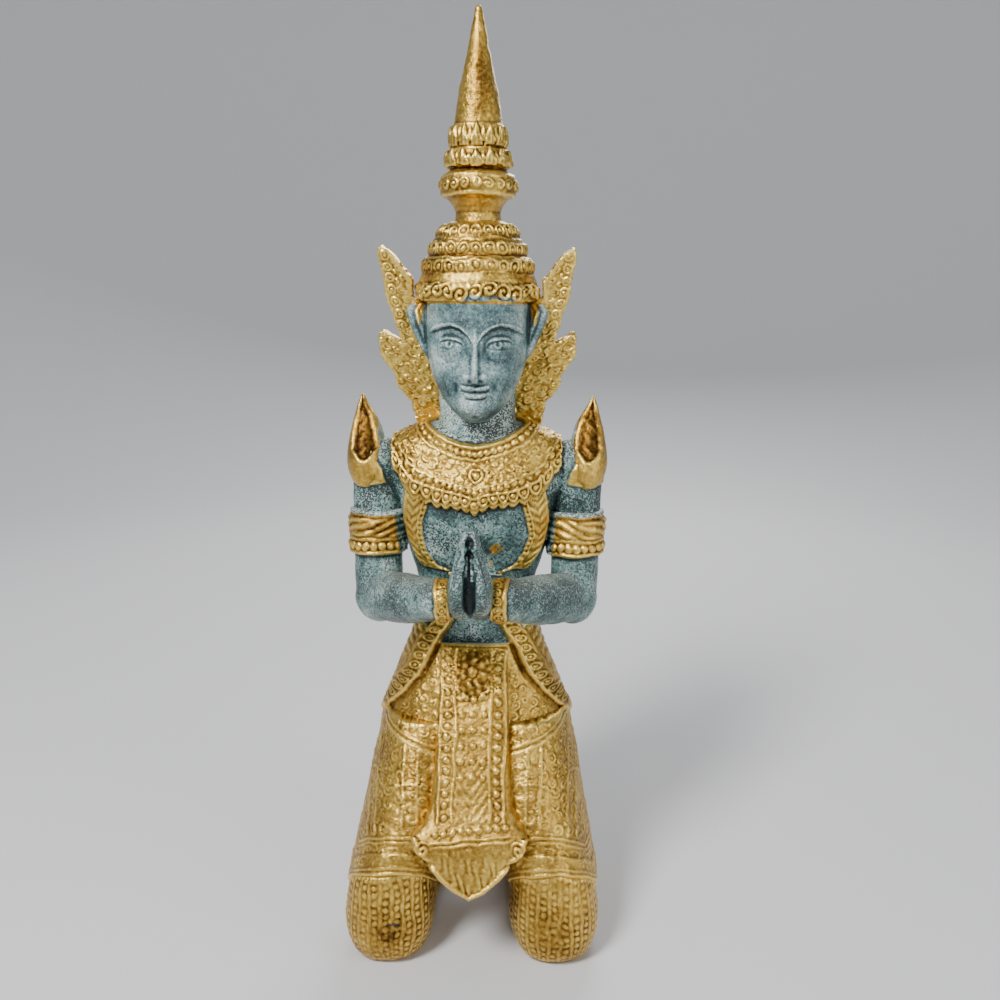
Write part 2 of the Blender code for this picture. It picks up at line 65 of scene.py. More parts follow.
def through(knots, values, at):
    """Smooth curve through the knots, with the slopes of a Catmull-Rom spline."""
    knots = np.asarray(knots, float)
    values = np.asarray(values, float)
    slopes = np.gradient(values, knots, axis=0)
    cell = np.clip(np.searchsorted(knots, at, side="right") - 1, 0, len(knots) - 2)
    span = knots[cell + 1] - knots[cell]
    t = (at - knots[cell]) / span
    if values.ndim > 1:
        t = t[:, None]
        span = span[:, None]
    start = (2 * t**3 - 3 * t**2 + 1) * values[cell] + (t**3 - 2 * t**2 + t) * span * slopes[cell]
    end = (3 * t**2 - 2 * t**3) * values[cell + 1] + (t**3 - t**2) * span * slopes[cell + 1]
    return start + end


def place(x, y, mark):
    """Points of the figure's own scale, in metres in the frame."""
    return np.stack([x * MARK, y * MARK + AXIS_Y, (mark - FLOOR_MARK) * MARK], axis=-1)


def drum(steps, sides, shape):
    """Cylinder cut into rings, whose points shape(turn, height) then moves to their places."""
    form = bmesh.new()
    bmesh.ops.create_cone(form, cap_ends=True, segments=sides, radius1=1, radius2=1, depth=1)
    walls = [edge for edge in form.edges if abs(edge.verts[0].co.z - edge.verts[1].co.z) > 0.5]
    bmesh.ops.subdivide_edges(form, edges=walls, cuts=steps - 2)
    spots = np.array([vertex.co for vertex in form.verts])
    moved = shape(np.arctan2(spots[:, 1], spots[:, 0]), np.clip(spots[:, 2] + 0.5, 0, 1))
    for vertex, spot in zip(form.verts, moved):
        vertex.co = spot
    return form


def loft(rows, steps=40, sides=56, power=2.2, smooth=True):
    """Stack of rounded rings; a row is (mark, x from, x to, y front, y back), upwards."""
    rows = np.asarray(rows, float)

    def shape(turn, height):
        marks = rows[0, 0] + height * (rows[-1, 0] - rows[0, 0])
        if smooth:
            spans = through(rows[:, 0], rows[:, 1:], marks)
        else:
            spans = np.stack([np.interp(marks, rows[:, 0], rows[:, k]) for k in range(1, 5)], axis=1)
        across = np.sign(np.cos(turn)) * np.abs(np.cos(turn)) ** (2 / power)
        along = np.sign(np.sin(turn)) * np.abs(np.sin(turn)) ** (2 / power)
        x = (spans[:, 0] + spans[:, 1]) / 2 + (spans[:, 1] - spans[:, 0]) / 2 * across
        y = (spans[:, 2] + spans[:, 3]) / 2 + (spans[:, 3] - spans[:, 2]) / 2 * along
        return place(x, y, marks)

    return drum(steps, sides, shape)


def ball(centre, radii):
    """Ellipsoid at (x, y, mark)."""
    form = bmesh.new()
    where = Matrix.Translation(Vector(place(*np.array(centre, float))))
    size = Matrix.Diagonal(Vector([radius * MARK for radius in radii])).to_4x4()
    bmesh.ops.create_uvsphere(form, u_segments=36, v_segments=22, radius=1.0, matrix=where @ size)
    return form


def limb(stations, side):
    """Round limb on one side through stations of (x, y, mark, radius), with a ball at each end."""
    stations = np.array(stations, float) * (side, 1, 1, 1)
    gaps = np.linalg.norm(np.diff(stations[:, :3], axis=0), axis=1)
    along = np.concatenate([[0.0], np.cumsum(gaps)])

    def shape(turn, height):
        at = height * along[-1]
        path = through(along, stations, at)
        ahead = through(along, stations, np.clip(at + 0.4, 0, along[-1]))
        behind = through(along, stations, np.clip(at - 0.4, 0, along[-1]))
        heading = (ahead - behind)[:, :3]
        heading /= np.linalg.norm(heading, axis=1)[:, None]
        side = np.cross(heading, (1.0, 0.0, 0.0))
        side /= np.linalg.norm(side, axis=1)[:, None]
        other = np.cross(heading, side)
        round_it = side * np.cos(turn)[:, None] + other * np.sin(turn)[:, None]
        spots = path[:, :3] + round_it * path[:, 3:]
        return place(spots[:, 0], spots[:, 1], spots[:, 2])

    ends = [ball(end[:3], [end[3]] * 3) for end in (stations[0], stations[-1])]
    return [drum(28, 36, shape)] + ends


def mirrored(rows, side):
    """Rows of (mark, x from, x to, front, back) on one side of the figure."""
    if side > 0:
        return rows
    return [(row[0], -row[2], -row[1], row[3], row[4]) for row in rows]


def placed(name, data):
    """New object in the scene, at the origin."""
    thing = bpy.data.objects.new(name, data)
    bpy.context.scene.collection.objects.link(thing)
    return thing


def melted(name, forms, grain, passes=4):
    """Melt overlapping forms into one even skin, as the wax of the casting pattern was."""
    whole = bmesh.new()
    for form in forms:
        shell = bpy.data.meshes.new("shell")
        form.to_mesh(shell)
        form.free()
        whole.from_mesh(shell)
        bpy.data.meshes.remove(shell)
    bmesh.ops.recalc_face_normals(whole, faces=whole.faces)
    rough = bpy.data.meshes.new("rough")
    whole.to_mesh(rough)
    whole.free()
    pattern = placed("pattern", rough)
    remesh = pattern.modifiers.new("Melt", "REMESH")
    remesh.mode = "VOXEL"
    remesh.voxel_size = grain * MARK
    soften = pattern.modifiers.new("Soften", "SMOOTH")
    soften.factor = 0.5
    soften.iterations = passes
    bpy.context.view_layer.update()
    shape = pattern.evaluated_get(bpy.context.evaluated_depsgraph_get())
    mesh = bpy.data.meshes.new_from_object(shape)
    mesh.name = name
    bpy.data.objects.remove(pattern, do_unlink=True)
    bpy.data.meshes.remove(rough)
    return mesh


def smooth_step(low, high, value):
    t = np.clip((value - low) / (high - low), 0.0, 1.0)
    return t * t * (3 - 2 * t)


def hump(value, centre, width):
    return np.exp(-(((value - centre) / width) ** 2))


def nearest(value, pitch, shift=0.0):
    """Distance from the nearest of evenly spaced centres."""
    turns = value / pitch - shift
    return (turns - np.round(turns)) * pitch


def bead(across, along, radius):
    """Round bead that stands on the ground of the carving."""
    return np.sqrt(np.clip(1 - (across**2 + along**2) / radius**2, 0, 1))


LATTICE_KEYS = np.array([73856093, 19349663, 83492791])
SEED_KEY = 2654435761


def lumps(x, y, mark, size, seed):
    """Soft random lumps of about the given size, from -1 to 1, the same on every run."""
    cell = np.stack([x, y, mark], axis=1) / size
    corner = np.floor(cell).astype(np.int64)
    t = cell - corner
    t = t * t * (3 - 2 * t)
    total = np.zeros(len(cell))
    for step in product((0, 1), repeat=3):
        key = (corner + step) @ LATTICE_KEYS + seed * SEED_KEY
        key = (key ^ (key >> 13)) * 1274126177 & 0x7FFFFFFF
        key = (key ^ (key >> 15)) * 40503 & 0x7FFFFFFF
        share = np.prod(np.where(step, t, 1 - t), axis=1)
        total += share * (key % 65536) / 32767.5
    return total - 1


def spread(values, links, passes):
    """Average each point's value with its neighbours', some times over."""
    count = len(values)
    near = np.bincount(links.ravel(), minlength=count).astype(float)
    near = np.maximum(near, 1)
    for _ in range(passes):
        columns = []
        for k in range(values.shape[1]):
            gain = np.bincount(links[:, 0], values[links[:, 1], k], count)
            gain += np.bincount(links[:, 1], values[links[:, 0], k], count)
            columns.append((values[:, k] + gain / near) / 2)
        values = np.stack(columns, axis=1)
    return values


def chased(mesh, relief, rough=0.06, reach=8, wander=0.32, worn=0.6):
    """Chase the relief in by hand, and note where gold lies, how deep points sit, for the painted shade and
    highlight, and where dust lies.
    """
    count = len(mesh.vertices)
    spots = np.zeros(count * 3)
    mesh.vertices.foreach_get("co", spots)
    spots = spots.reshape(-1, 3)
    normals = np.zeros(count * 3, dtype=np.float32)
    mesh.vertex_normals.foreach_get("vector", normals)
    links = np.zeros(len(mesh.edges) * 2, dtype=np.int32)
    mesh.edges.foreach_get("vertices", links)
    links = links.reshape(-1, 2)
    normals = spread(normals.reshape(-1, 3).astype(float), links, 3)
    normals /= np.linalg.norm(normals, axis=1)[:, None]
    x = spots[:, 0] / MARK
    y = (spots[:, 1] - AXIS_Y) / MARK
    mark = spots[:, 2] / MARK + FLOOR_MARK
    own = (x, y, mark)
    drift = [wander * (lumps(*own, 5.0, seed) + 0.5 * lumps(*own, 2.3, seed + 3)) for seed in (11, 12, 13)]
    rise, gilt, *shade = relief(x + drift[0], y + drift[1], mark + drift[2], normals)
    plain = spread(rise[:, None], links, 5)[:, 0]
    rub = worn * smooth_step(-0.5, 0.7, lumps(*own, 8.0, 21) + 0.6 * lumps(*own, 2.6, 22))
    rise = rise + rub * (plain - rise)
    rise += rough * (lumps(*own, 1.1, 5) + lumps(*own, 2.7, 6) + 2 * lumps(*own, 7.0, 7))
    rise += 0.05 * gilt * lumps(*own, 0.8, 8)
    spots = spots + normals * (rise * MARK)[:, None]
    spots[:, 2] = np.maximum(spots[:, 2], 0)
    mesh.vertices.foreach_set("co", spots.ravel())
    level = spread(spots, links, reach)
    sunk = np.sum((level - spots) * normals, axis=1) / MARK
    # Height paints shade on low points and highlights on raised ones; the relief's shade terms add painted
    # shade, painted light and stains on top.
    height = np.clip(0.5 - sunk / 0.45 - sum(shade), 0, 1)
    dust = smooth_step(0.05, 0.9, normals[:, 2] + 0.3 * lumps(*own, 4.0, 41))
    for name, values in (("gilt", gilt), ("height", height), ("dust", dust)):
        store = mesh.attributes.new(name, "FLOAT", "POINT")
        store.data.foreach_set("value", values.astype(np.float32))
    mesh.shade_smooth()
    mesh.update()
    return mesh


def colour_steps(tree, tones, stops):
    """Colour ramp from the deepest recess, in painted shade, to the most raised edge, in painted highlight.
    """
    ramp = tree.nodes.new("ShaderNodeValToRGB")
    ramp.color_ramp.elements.remove(ramp.color_ramp.elements[1])
    names = ("deep", "dull", "mid", "bright")
    ramp.color_ramp.elements[0].position = stops[0]
    ramp.color_ramp.elements[0].color = (*tones["deep"], 1.0)
    for name, stop in zip(names[1:], stops[1:]):
        ramp.color_ramp.elements.new(stop).color = (*tones[name], 1.0)
    return ramp


GOLD_STOPS = (0.06, 0.27, 0.50, 0.80)
PATINA_STOPS = (0.12, 0.34, 0.56, 0.86)
DUST = (0.30, 0.335, 0.33, 1)
BLOOM = (0.47, 0.52, 0.48, 1)


def weathered_with_painted_light(name, gold=GOLD, patina=PATINA, speckle=0.5, clouds=1.1, matt=0.46):
    """Hand-gilded brass over blue-green patina, with painted shade in the recesses and painted highlights on
    the raised edges.
    """
    material = bpy.data.materials.new(name)
    material.use_nodes = True
    tree = material.node_tree
    shader = tree.nodes["Principled BSDF"]
    output = tree.nodes["Material Output"]
    here = tree.nodes.new("ShaderNodeTexCoord").outputs["Object"]

    def noise(size, detail=2.0):
        node = tree.nodes.new("ShaderNodeTexNoise")
        node.inputs["Scale"].default_value = 1 / (size * MARK)
        node.inputs["Detail"].default_value = detail
        tree.links.new(here, node.inputs["Vector"])
        return node.outputs["Fac"]

    def sum_of(*terms):
        """Sum of (socket, factor) pairs, and of a plain number given last."""
        total = None
        for socket, factor in terms[:-1]:
            node = tree.nodes.new("ShaderNodeMath")
            node.operation = "MULTIPLY_ADD"
            tree.links.new(socket, node.inputs[0])
            node.inputs[1].default_value = factor
            if total is None:
                node.inputs[2].default_value = terms[-1]
            else:
                tree.links.new(total, node.inputs[2])
            total = node.outputs[0]
        return total

    def band(socket, start, end):
        node = tree.nodes.new("ShaderNodeMapRange")
        node.interpolation_type = "SMOOTHSTEP"
        node.inputs["From Min"].default_value = start
        node.inputs["From Max"].default_value = end
        tree.links.new(socket, node.inputs["Value"])
        return node.outputs["Result"]

    def mix(factor, first, second, kind="RGBA"):
        node = tree.nodes.new("ShaderNodeMix")
        node.data_type = kind
        slot = {"RGBA": (6, 7, 2), "FLOAT": (2, 3, 0)}[kind]
        tree.links.new(factor, node.inputs[0])
        for socket, value in zip(slot[:2], (first, second)):
            if isinstance(value, bpy.types.NodeSocket):
                tree.links.new(value, node.inputs[socket])
            else:
                node.inputs[socket].default_value = value
        return node.outputs[slot[2]]

    def attribute(called):
        node = tree.nodes.new("ShaderNodeAttribute")
        node.attribute_name = called
        return node.outputs["Fac"]

    height = attribute("height")
    grain = noise(0.5)
    fleck = noise(0.9, 3.0)
    cloud = noise(9.0, 3.0)
    # Painted shade and highlight: the height attribute darkens recesses and lightens raised edges in both
    # colour ramps.
    gold_height = sum_of((height, 0.85), (fleck, 0.50), (cloud, 0.50), -0.425)
    gold_ramp = colour_steps(tree, gold, GOLD_STOPS)
    tree.links.new(gold_height, gold_ramp.inputs["Fac"])
    skin_height = sum_of((height, 0.9), (fleck, 0.75), (cloud, clouds), -0.325 - clouds / 2)
    skin_ramp = colour_steps(tree, patina, PATINA_STOPS)
    tree.links.new(skin_height, skin_ramp.inputs["Fac"])
    patches = band(noise(13.0), 0.44, 0.62)
    dust = attribute("dust")
    spread_of_dots = sum_of((grain, 1.0), (patches, 0.13 * speckle), (dust, 0.05 * speckle), -0.04)
    dots = band(spread_of_dots, 0.505, 0.56)
    pale = band(sum_of((noise(0.6), 1.0), (height, 0.12), (dust, 0.12), (patches, 0.07), -0.15), 0.54, 0.63)
    dotted = mix(sum_of((dust, 0.36), 0.0), skin_ramp.outputs["Color"], DUST)
    dotted = mix(sum_of((pale, 0.55 * speckle), 0.0), dotted, BLOOM)
    dotted = mix(sum_of((dots, 0.92 * speckle), 0.0), dotted, (*patina["deep"], 1))
    lies = band(sum_of((attribute("gilt"), 1.0), (fleck, 0.35), (height, 0.2), -0.275), 0.42, 0.54)
    tree.links.new(mix(lies, dotted, gold_ramp.outputs["Color"]), shader.inputs["Base Color"])
    tree.links.new(mix(lies, 0.12, 0.93, "FLOAT"), shader.inputs["Metallic"])
    rub = sum_of((fleck, 0.22), (height, -0.14), 0.33)
    dull = sum_of((fleck, 0.2), (height, -0.12), (dust, 0.12), matt)
    tree.links.new(mix(lies, dull, rub, "FLOAT"), shader.inputs["Roughness"])
    bump = tree.nodes.new("ShaderNodeBump")
    bump.inputs["Strength"].default_value = 0.9
    bump.inputs["Distance"].default_value = 0.22 * MARK
    tree.links.new(sum_of((grain, 0.7), (fleck, 0.8), (dots, -0.25 * speckle), 0.0), bump.inputs["Height"])
    tree.links.new(bump.outputs["Normal"], shader.inputs["Normal"])
    tree.links.new(shader.outputs["BSDF"], output.inputs["Surface"])
    return material


SHARE_KEPT = 0.62


def set_up(name, mesh, material):
    """Stand the finished piece in the scene, with fewer points where its surface is plain."""
    dense = placed("dense", mesh)
    thin = dense.modifiers.new("Thin", "DECIMATE")
    thin.ratio = SHARE_KEPT
    bpy.context.view_layer.update()
    graph = bpy.context.evaluated_depsgraph_get()
    kept = bpy.data.meshes.new_from_object(dense.evaluated_get(graph), preserve_all_data_layers=True,
                                           depsgraph=graph)
    bpy.data.objects.remove(dense, do_unlink=True)
    bpy.data.meshes.remove(mesh)
    kept.name = name
    piece = placed(name, kept)
    kept.materials.clear()
    kept.materials.append(material)
    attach(piece, "root")
    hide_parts("angel_figure")


HEM = ([-43, -28, -12, 6, 20], [28, 16.2, 14.6, 17, 24])
KNEE = [(-7.5, 20, 30, -33, -18), (-3.8, 15.4, 34.6, -38, -16), (1.5, 12.6, 37.2, -40.9, -14),
        (8, 11.4, 38.0, -41.9, -13), (15, 11.4, 37.2, -41.8, -12), (22, 11.0, 36.2, -41, -10),
        (26, 9.9, 35.3, -40.2, -8), (29.5, 9.2, 34.5, -39.3, -6)]
SHIN = [(24.8, -24, 8.6, 12.6), (21, 0, 7.6, 11.4), (15, 27, 5.2, 7.6)]
FOOT = [(13.2, 27, 25.5, 7.0), (12.8, 32, 14, 6.9), (12.5, 35.6, 2.2, 6.8)]
KNEE_MIDDLE = 24.6
KNEE_RADIUS = 13.5

forms = []
for side in (-1, 1):
    forms.append(loft(mirrored(KNEE, side), steps=30, power=2.3))
    forms += limb(SHIN, side) + limb(FOOT, side)
    for toe in range(5):
        reach = 40.6 - 0.5 * toe
        forms.append(ball((side * (7.4 + 2.5 * toe), reach, -2.4), (1.7, 2.7, 2.5 - 0.15 * toe)))


def knee_relief(x, y, mark, normal):
    """Columns of beads between fine ridges, right round each knee and along the shin."""
    away = np.abs(x)
    around = np.arctan2(away - KNEE_MIDDLE, -(y + 27.5)) * KNEE_RADIUS
    sole = smooth_step(-0.45, -0.8, normal[:, 2])
    down = np.where(normal[:, 2] < -0.3, np.hypot(away - KNEE_MIDDLE, y + 28), 14 + mark)
    column = nearest(around, 3.1)
    beads = bead(column, nearest(mark + 0.15 * around, 2.2), 0.85)
    lines = np.maximum(hump(column, 1.35, 0.3), hump(column, -1.35, 0.3))
    rubbed_and_highlit = hump(away, 24.5, 7) * hump(mark, 6, 9) * (y < -32)
    rise = (0.36 * beads + 0.30 * lines) * (1 - 0.45 * rubbed_and_highlit) + 0.1 * np.sin(down * 2.6) * sole
    rise *= smooth_step(-3.9, -1.8, mark)
    hem = np.interp(y, *HEM)
    tucked = smooth_step(-0.2, 0.8, mark - hem) * (y < 8)
    foot = smooth_step(20, 24, y) * (mark < 26)
    ankle = hump(y, 21.5, 0.9) * 0.5
    rise = rise * (1 - foot) * (1 - tucked) - 1.1 * tucked + ankle
    rise = np.where(mark < -4.2, np.minimum(rise, 0.1), rise)
    broken = smooth_step(-0.1, 0.5, lumps(x, y, mark, 1.5, 51))
    scuffed = np.maximum(hump(x, -23, 3.4), 0.8 * hump(x, 27, 2.0)) * hump(mark, 11, 6) * (y < -30) * broken
    return rise, 1 - smooth_step(22, 23.5, y) - 0.6 * scuffed, 0.14 * rubbed_and_highlit + 0.3 * scuffed


knees = chased(melted("knees_and_feet", forms, 0.48), knee_relief, rough=0.09, wander=0.55, worn=0.7)
gold_of_the_dress = weathered_with_painted_light("gilded_dress")
set_up("knees_and_feet", knees, gold_of_the_dress)

# Skirt over lap and thighs, cast with the knees below it. Bands of scrolls lie between raised lines,
# and its hem stands off the knees as a rolled edge. It was gilded by hand and is rubbed in spots.

LAP = [(28, 13, -33, 20), (38.7, 27, -34, 25.5), (48, 29.2, -30.5, 27), (58.5, 29.2, -26.5, 24.5),
       (69, 25.8, -22.5, 20.5)]
THIGH = [(12, 12.2, 36.6, -41.4, -8), (17, 11.6, 36.6, -41.6, 0), (23, 10.4, 35.8, -41.0, 8),
         (31, 8, 34.2, -38.8, 17), (39.6, 4.5, 32.6, -35.5, 24), (50, 2.5, 30.7, -31, 26),
         (64.5, 2, 27, -24, 20)]
LAP_RADIUS = 24
BORDER = ([57, 60, 67, 77, 86, 95], [33, 30, 24, 16, 11.6, 6])


def even(rows):
    """Rows of (mark, half width, front, back), even about the figure's middle."""
    return [(mark, -half, half, front, back) for mark, half, front, back in rows]


def rosette(across, along, radius):
    """Small flower: a rim round a raised eye."""
    away = np.hypot(across, along)
    rim = hump(away, radius * 0.78, radius * 0.2)
    return np.maximum(rim, 0.95 * bead(across, along, radius * 0.42))


def curl(across, along, radius, hand):
    """Tendril wound up towards its middle."""
    away = np.hypot(across, along)
    turn = np.arctan2(along, across)
    wound = 0.5 + 0.5 * np.cos(2 * math.pi * away / (radius * 0.72) - hand * turn)
    return wound * smooth_step(radius, radius * 0.8, away)


def tracery(across, along, size, seed):
    """Field of small carved scrolls and flowers, one to each cell and no two quite alike."""
    column = np.round(across / size).astype(np.int64)
    row = np.round(along / size - 0.5 * (column % 2)).astype(np.int64)
    pick = (column * 7919 + row * 104729 + seed * 613) % 1009
    u = across - column * size + (pick % 7 - 3) * 0.06 * size
    v = along - (row + 0.5 * (column % 2)) * size + (pick % 5 - 2) * 0.08 * size
    reach = size * (0.50 + 0.03 * (pick % 4))
    scroll = curl(u, v, reach, np.where(pick % 2 == 0, 1, -1))
    opening = 0.6 + 0.4 * np.cos(np.arctan2(v, u) - pick)
    return np.where(pick % 4 == 0, rosette(u, v, reach * 0.8), scroll) * opening


forms = [loft(even(LAP))]
for side in (-1, 1):
    forms.append(loft(mirrored(THIGH, side), power=2.3))
    forms.append(ball((side * 11.5, 17, 46), (14, 13.5, 14.5)))


def swag_line(away):
    """Height of the second layer's lower edge between the flaps."""
    return 56.6 + 0.25 * (away - 10) + 0.008 * (away - 10) ** 2


def waved_hem(turn):
    """Height of the flaps' lower edge, which dips four times round the figure."""
    return 58.6 + 1.4 * np.cos(turn * 4)


def skirt_relief(x, y, mark, normal):
    """Hem lines, a band of scrolls above them, and panels of scrolls between upright lines."""
    away = np.abs(x)
    hem = np.interp(y, *HEM)
    above = mark - hem
    around = np.arctan2(away - 17.5, -(y + 6)) * LAP_RADIUS
    front = smooth_step(0.1, -0.3, normal[:, 1])
    cloth = smooth_step(-0.5, 0.2, above)
    rise = cloth * 0.9 * (1 + 0.4 * smooth_step(7.4, 6.6, above)) - 1.6 * (1 - cloth)
    lines = 0.45 * hump(above, 0.6, 0.5) + 0.26 * hump(above, 2.3, 0.38) + 0.24 * hump(above, 10.9, 0.4)
    lines += 0.34 * hump(above, 12.6, 0.4) + 0.2 * hump(mark, 48.2 + 1.2 * np.cos(around * 0.4), 0.4)
    scrolls = tracery(around, above - 7, 3.3, 2) * smooth_step(3.0, 4.0, above)
    scrolls *= smooth_step(10.6, 9.8, above)
    posts = np.zeros_like(x)
    for seat in (12.0, 16.0, 19.8, 27.6, 30.2, 34.0):
        posts = np.maximum(posts, hump(away, seat, 0.38))
    flank = (1 - front) * hump(nearest(around, 8.5), 0, 0.45)
    panel = tracery(around, mark - 31, 3.1, 5)
    field = smooth_step(13.2, 14.2, above)
    upright = np.maximum(posts * front, flank)
    rise += cloth * (lines + 0.3 * scrolls + field * (0.32 * upright + 0.32 * panel))
    inside = (away < np.interp(mark, *BORDER)) & (y < -2)
    top = np.where(inside, swag_line(away), waved_hem(np.arctan2(x, -y)))
    under = smooth_step(0.6, 1.8, mark - top)
    spot = hump(x, -14.6, 2.0) * hump(mark, 51.5, 3.2) * (y < -10)
    spot *= smooth_step(-0.1, 0.5, lumps(x, y, mark, 1.3, 52))
    return rise * (1 - under) - 1.5 * under, 1 - 0.6 * spot, 0.3 * spot


skirt = chased(melted("skirt", forms, 0.44), skirt_relief, rough=0.08, worn=0.3)
set_up("skirt", skirt, gold_of_the_dress)

# Overskirt whose two flaps part in front and sweep to the hips. A border of ringed beads edges them.
# The flaps were cast standing off the skirt, so that a deep shadow runs inside the border, where painted
# shadow darkens it further.

HIPS = [(52, 29.2, -29, 26.6), (58.5, 29.2, -26.5, 24.5), (69, 25.8, -22.5, 20.5), (80, 21.5, -18.2, 16),
        (87.7, 18.8, -15.2, 13.2), (94, 17.4, -13.2, 11.6)]
BORDER_RUN = np.concatenate([[0], np.cumsum(np.hypot(np.diff(BORDER[0]), np.diff(BORDER[1])))])
BORDER_SLANT = 0.76
HIP_RADIUS = 27


def both_sides(rows, **how):
    """The same stack of rings on the left and on the right."""
    return [loft(mirrored(rows, side), **how) for side in (-1, 1)]


upper_thigh = [row for row in THIGH if row[0] > 45]
forms = [loft(even(HIPS))] + both_sides(upper_thigh, steps=16, power=2.3)


def along_border(away, mark):
    """Length run along the border, and distance across it from its inner edge."""
    off = (away - np.interp(mark, *BORDER)) * BORDER_SLANT
    return np.interp(mark, BORDER[0], BORDER_RUN), off


def overskirt_relief(x, y, mark, normal):
    """Flaps with ringed borders over the skirt's second layer and its swags."""
    away = np.abs(x)
    run, off = along_border(away, mark)
    turn = np.arctan2(x, -y)
    hem = waved_hem(turn)
    ahead = smooth_step(-0.8, -3.2, y)
    side = 1 - ahead * smooth_step(0.3, -0.3, off)
    over = side * smooth_step(hem - 0.4, hem + 0.4, mark)
    edge = smooth_step(3.9, 3.2, np.abs(off - 2.0)) * ahead * side
    hemming = smooth_step(3.6, 2.8, mark - hem)
    rise = over * 1.2 * (1 + 0.35 * np.maximum(edge, hemming))
    rings = rosette(nearest(run, 3.2), off - 1.8, 1.3)
    ridges = np.maximum(hump(off, 0.2, 0.4), 0.8 * hump(off, 3.4, 0.35))
    bordering = ahead * over
    rise += bordering * (0.42 * ridges + 0.5 * rings * (np.abs(off - 1.8) < 1.5))
    lower = (1 - ahead) * over
    rise += lower * (0.4 * hump(mark, hem + 0.7, 0.42) + 0.34 * hump(mark, hem + 4.1, 0.4))
    rise += lower * 0.45 * rosette(nearest(turn * HIP_RADIUS, 3.2), mark - hem - 2.4, 1.3)
    flap = over * (ahead * smooth_step(3.8, 4.4, off) + (1 - ahead) * smooth_step(4.8, 5.4, mark - hem))
    pleats = np.sin((np.hypot(away - 4, (mark - 99) * 0.9) - 6) * 2.6)
    fan = smooth_step(76, 84, mark)
    rise += flap * (0.18 * pleats * fan + 0.36 * tracery(turn * LAP_RADIUS, mark, 3.2, 9) * (1 - 0.6 * fan))
    gap = hump(off, -0.7, 0.5) * (y < -4) * smooth_step(hem + 1, hem + 4, mark) * (away > 9)
    inner = 1 - side
    swag = swag_line(away)
    swags = 0.35 * hump(mark, swag, 0.5) + 0.32 * hump(mark, swag + 1.7, 0.42)
    inside = smooth_step(-1.2, -2.2, off) * smooth_step(swag + 2.2, swag + 3.0, mark)
    rise += inner * (0.95 + swags + 0.42 * tracery(x, mark, 2.9, 3) * inside)
    rise -= gap * (0.15 + 0.9 * hump(mark, 83, 5))
    sunk = smooth_step(0.3, -0.5, mark - np.where(inner > 0.5, swag - 1.0, hem))
    top = np.where(y < 0, np.interp(away, [10, 17], [87.2, 94]), 94)
    waist = mark - np.where((off > -0.3) & (off < 3.9) & (y < 0), 95, top)
    rise = rise * (1 - sunk) - 1.3 * sunk
    bare = smooth_step(-0.4, 0.6, waist)
    rise = rise * (1 - bare) - 2.6 * bare
    # Painted shadow in the gap inside the border, strongest around mark 83.
    return rise, 1 - smooth_step(-0.8, 0.0, waist), gap * (0.05 + 0.2 * hump(mark, 83, 5))


overskirt = chased(melted("overskirt", forms, 0.42), overskirt_relief, rough=0.08, worn=0.3)
set_up("overskirt", overskirt, gold_of_the_dress)

# Apron that hangs from the girdle and flares into a pointed leaf between the knees.
# Two columns of beads run down it beside a narrow middle strip, under a flower-shaped buckle.

LEAF = [(22.3, 0.8, -47, 3.0), (24.4, 4.8, -46.7, 3.1), (27.4, 8.8, -46.1, 3.3), (30.8, 12, -45.3, 3.6),
        (34.6, 15, -44.3, 4.0), (38, 17, -43.2, 4.5)]
PANEL = [(41.5, 13.2, -41.2, -33), (45.5, 11.8, -38.8, -26), (49, 11.5, -37, -24), (66, 10.5, -29.2, -18),
         (80, 10.2, -21.5, -10), (86.6, 10, -17.8, -8)]
BUCKLE_MARK = 80.2


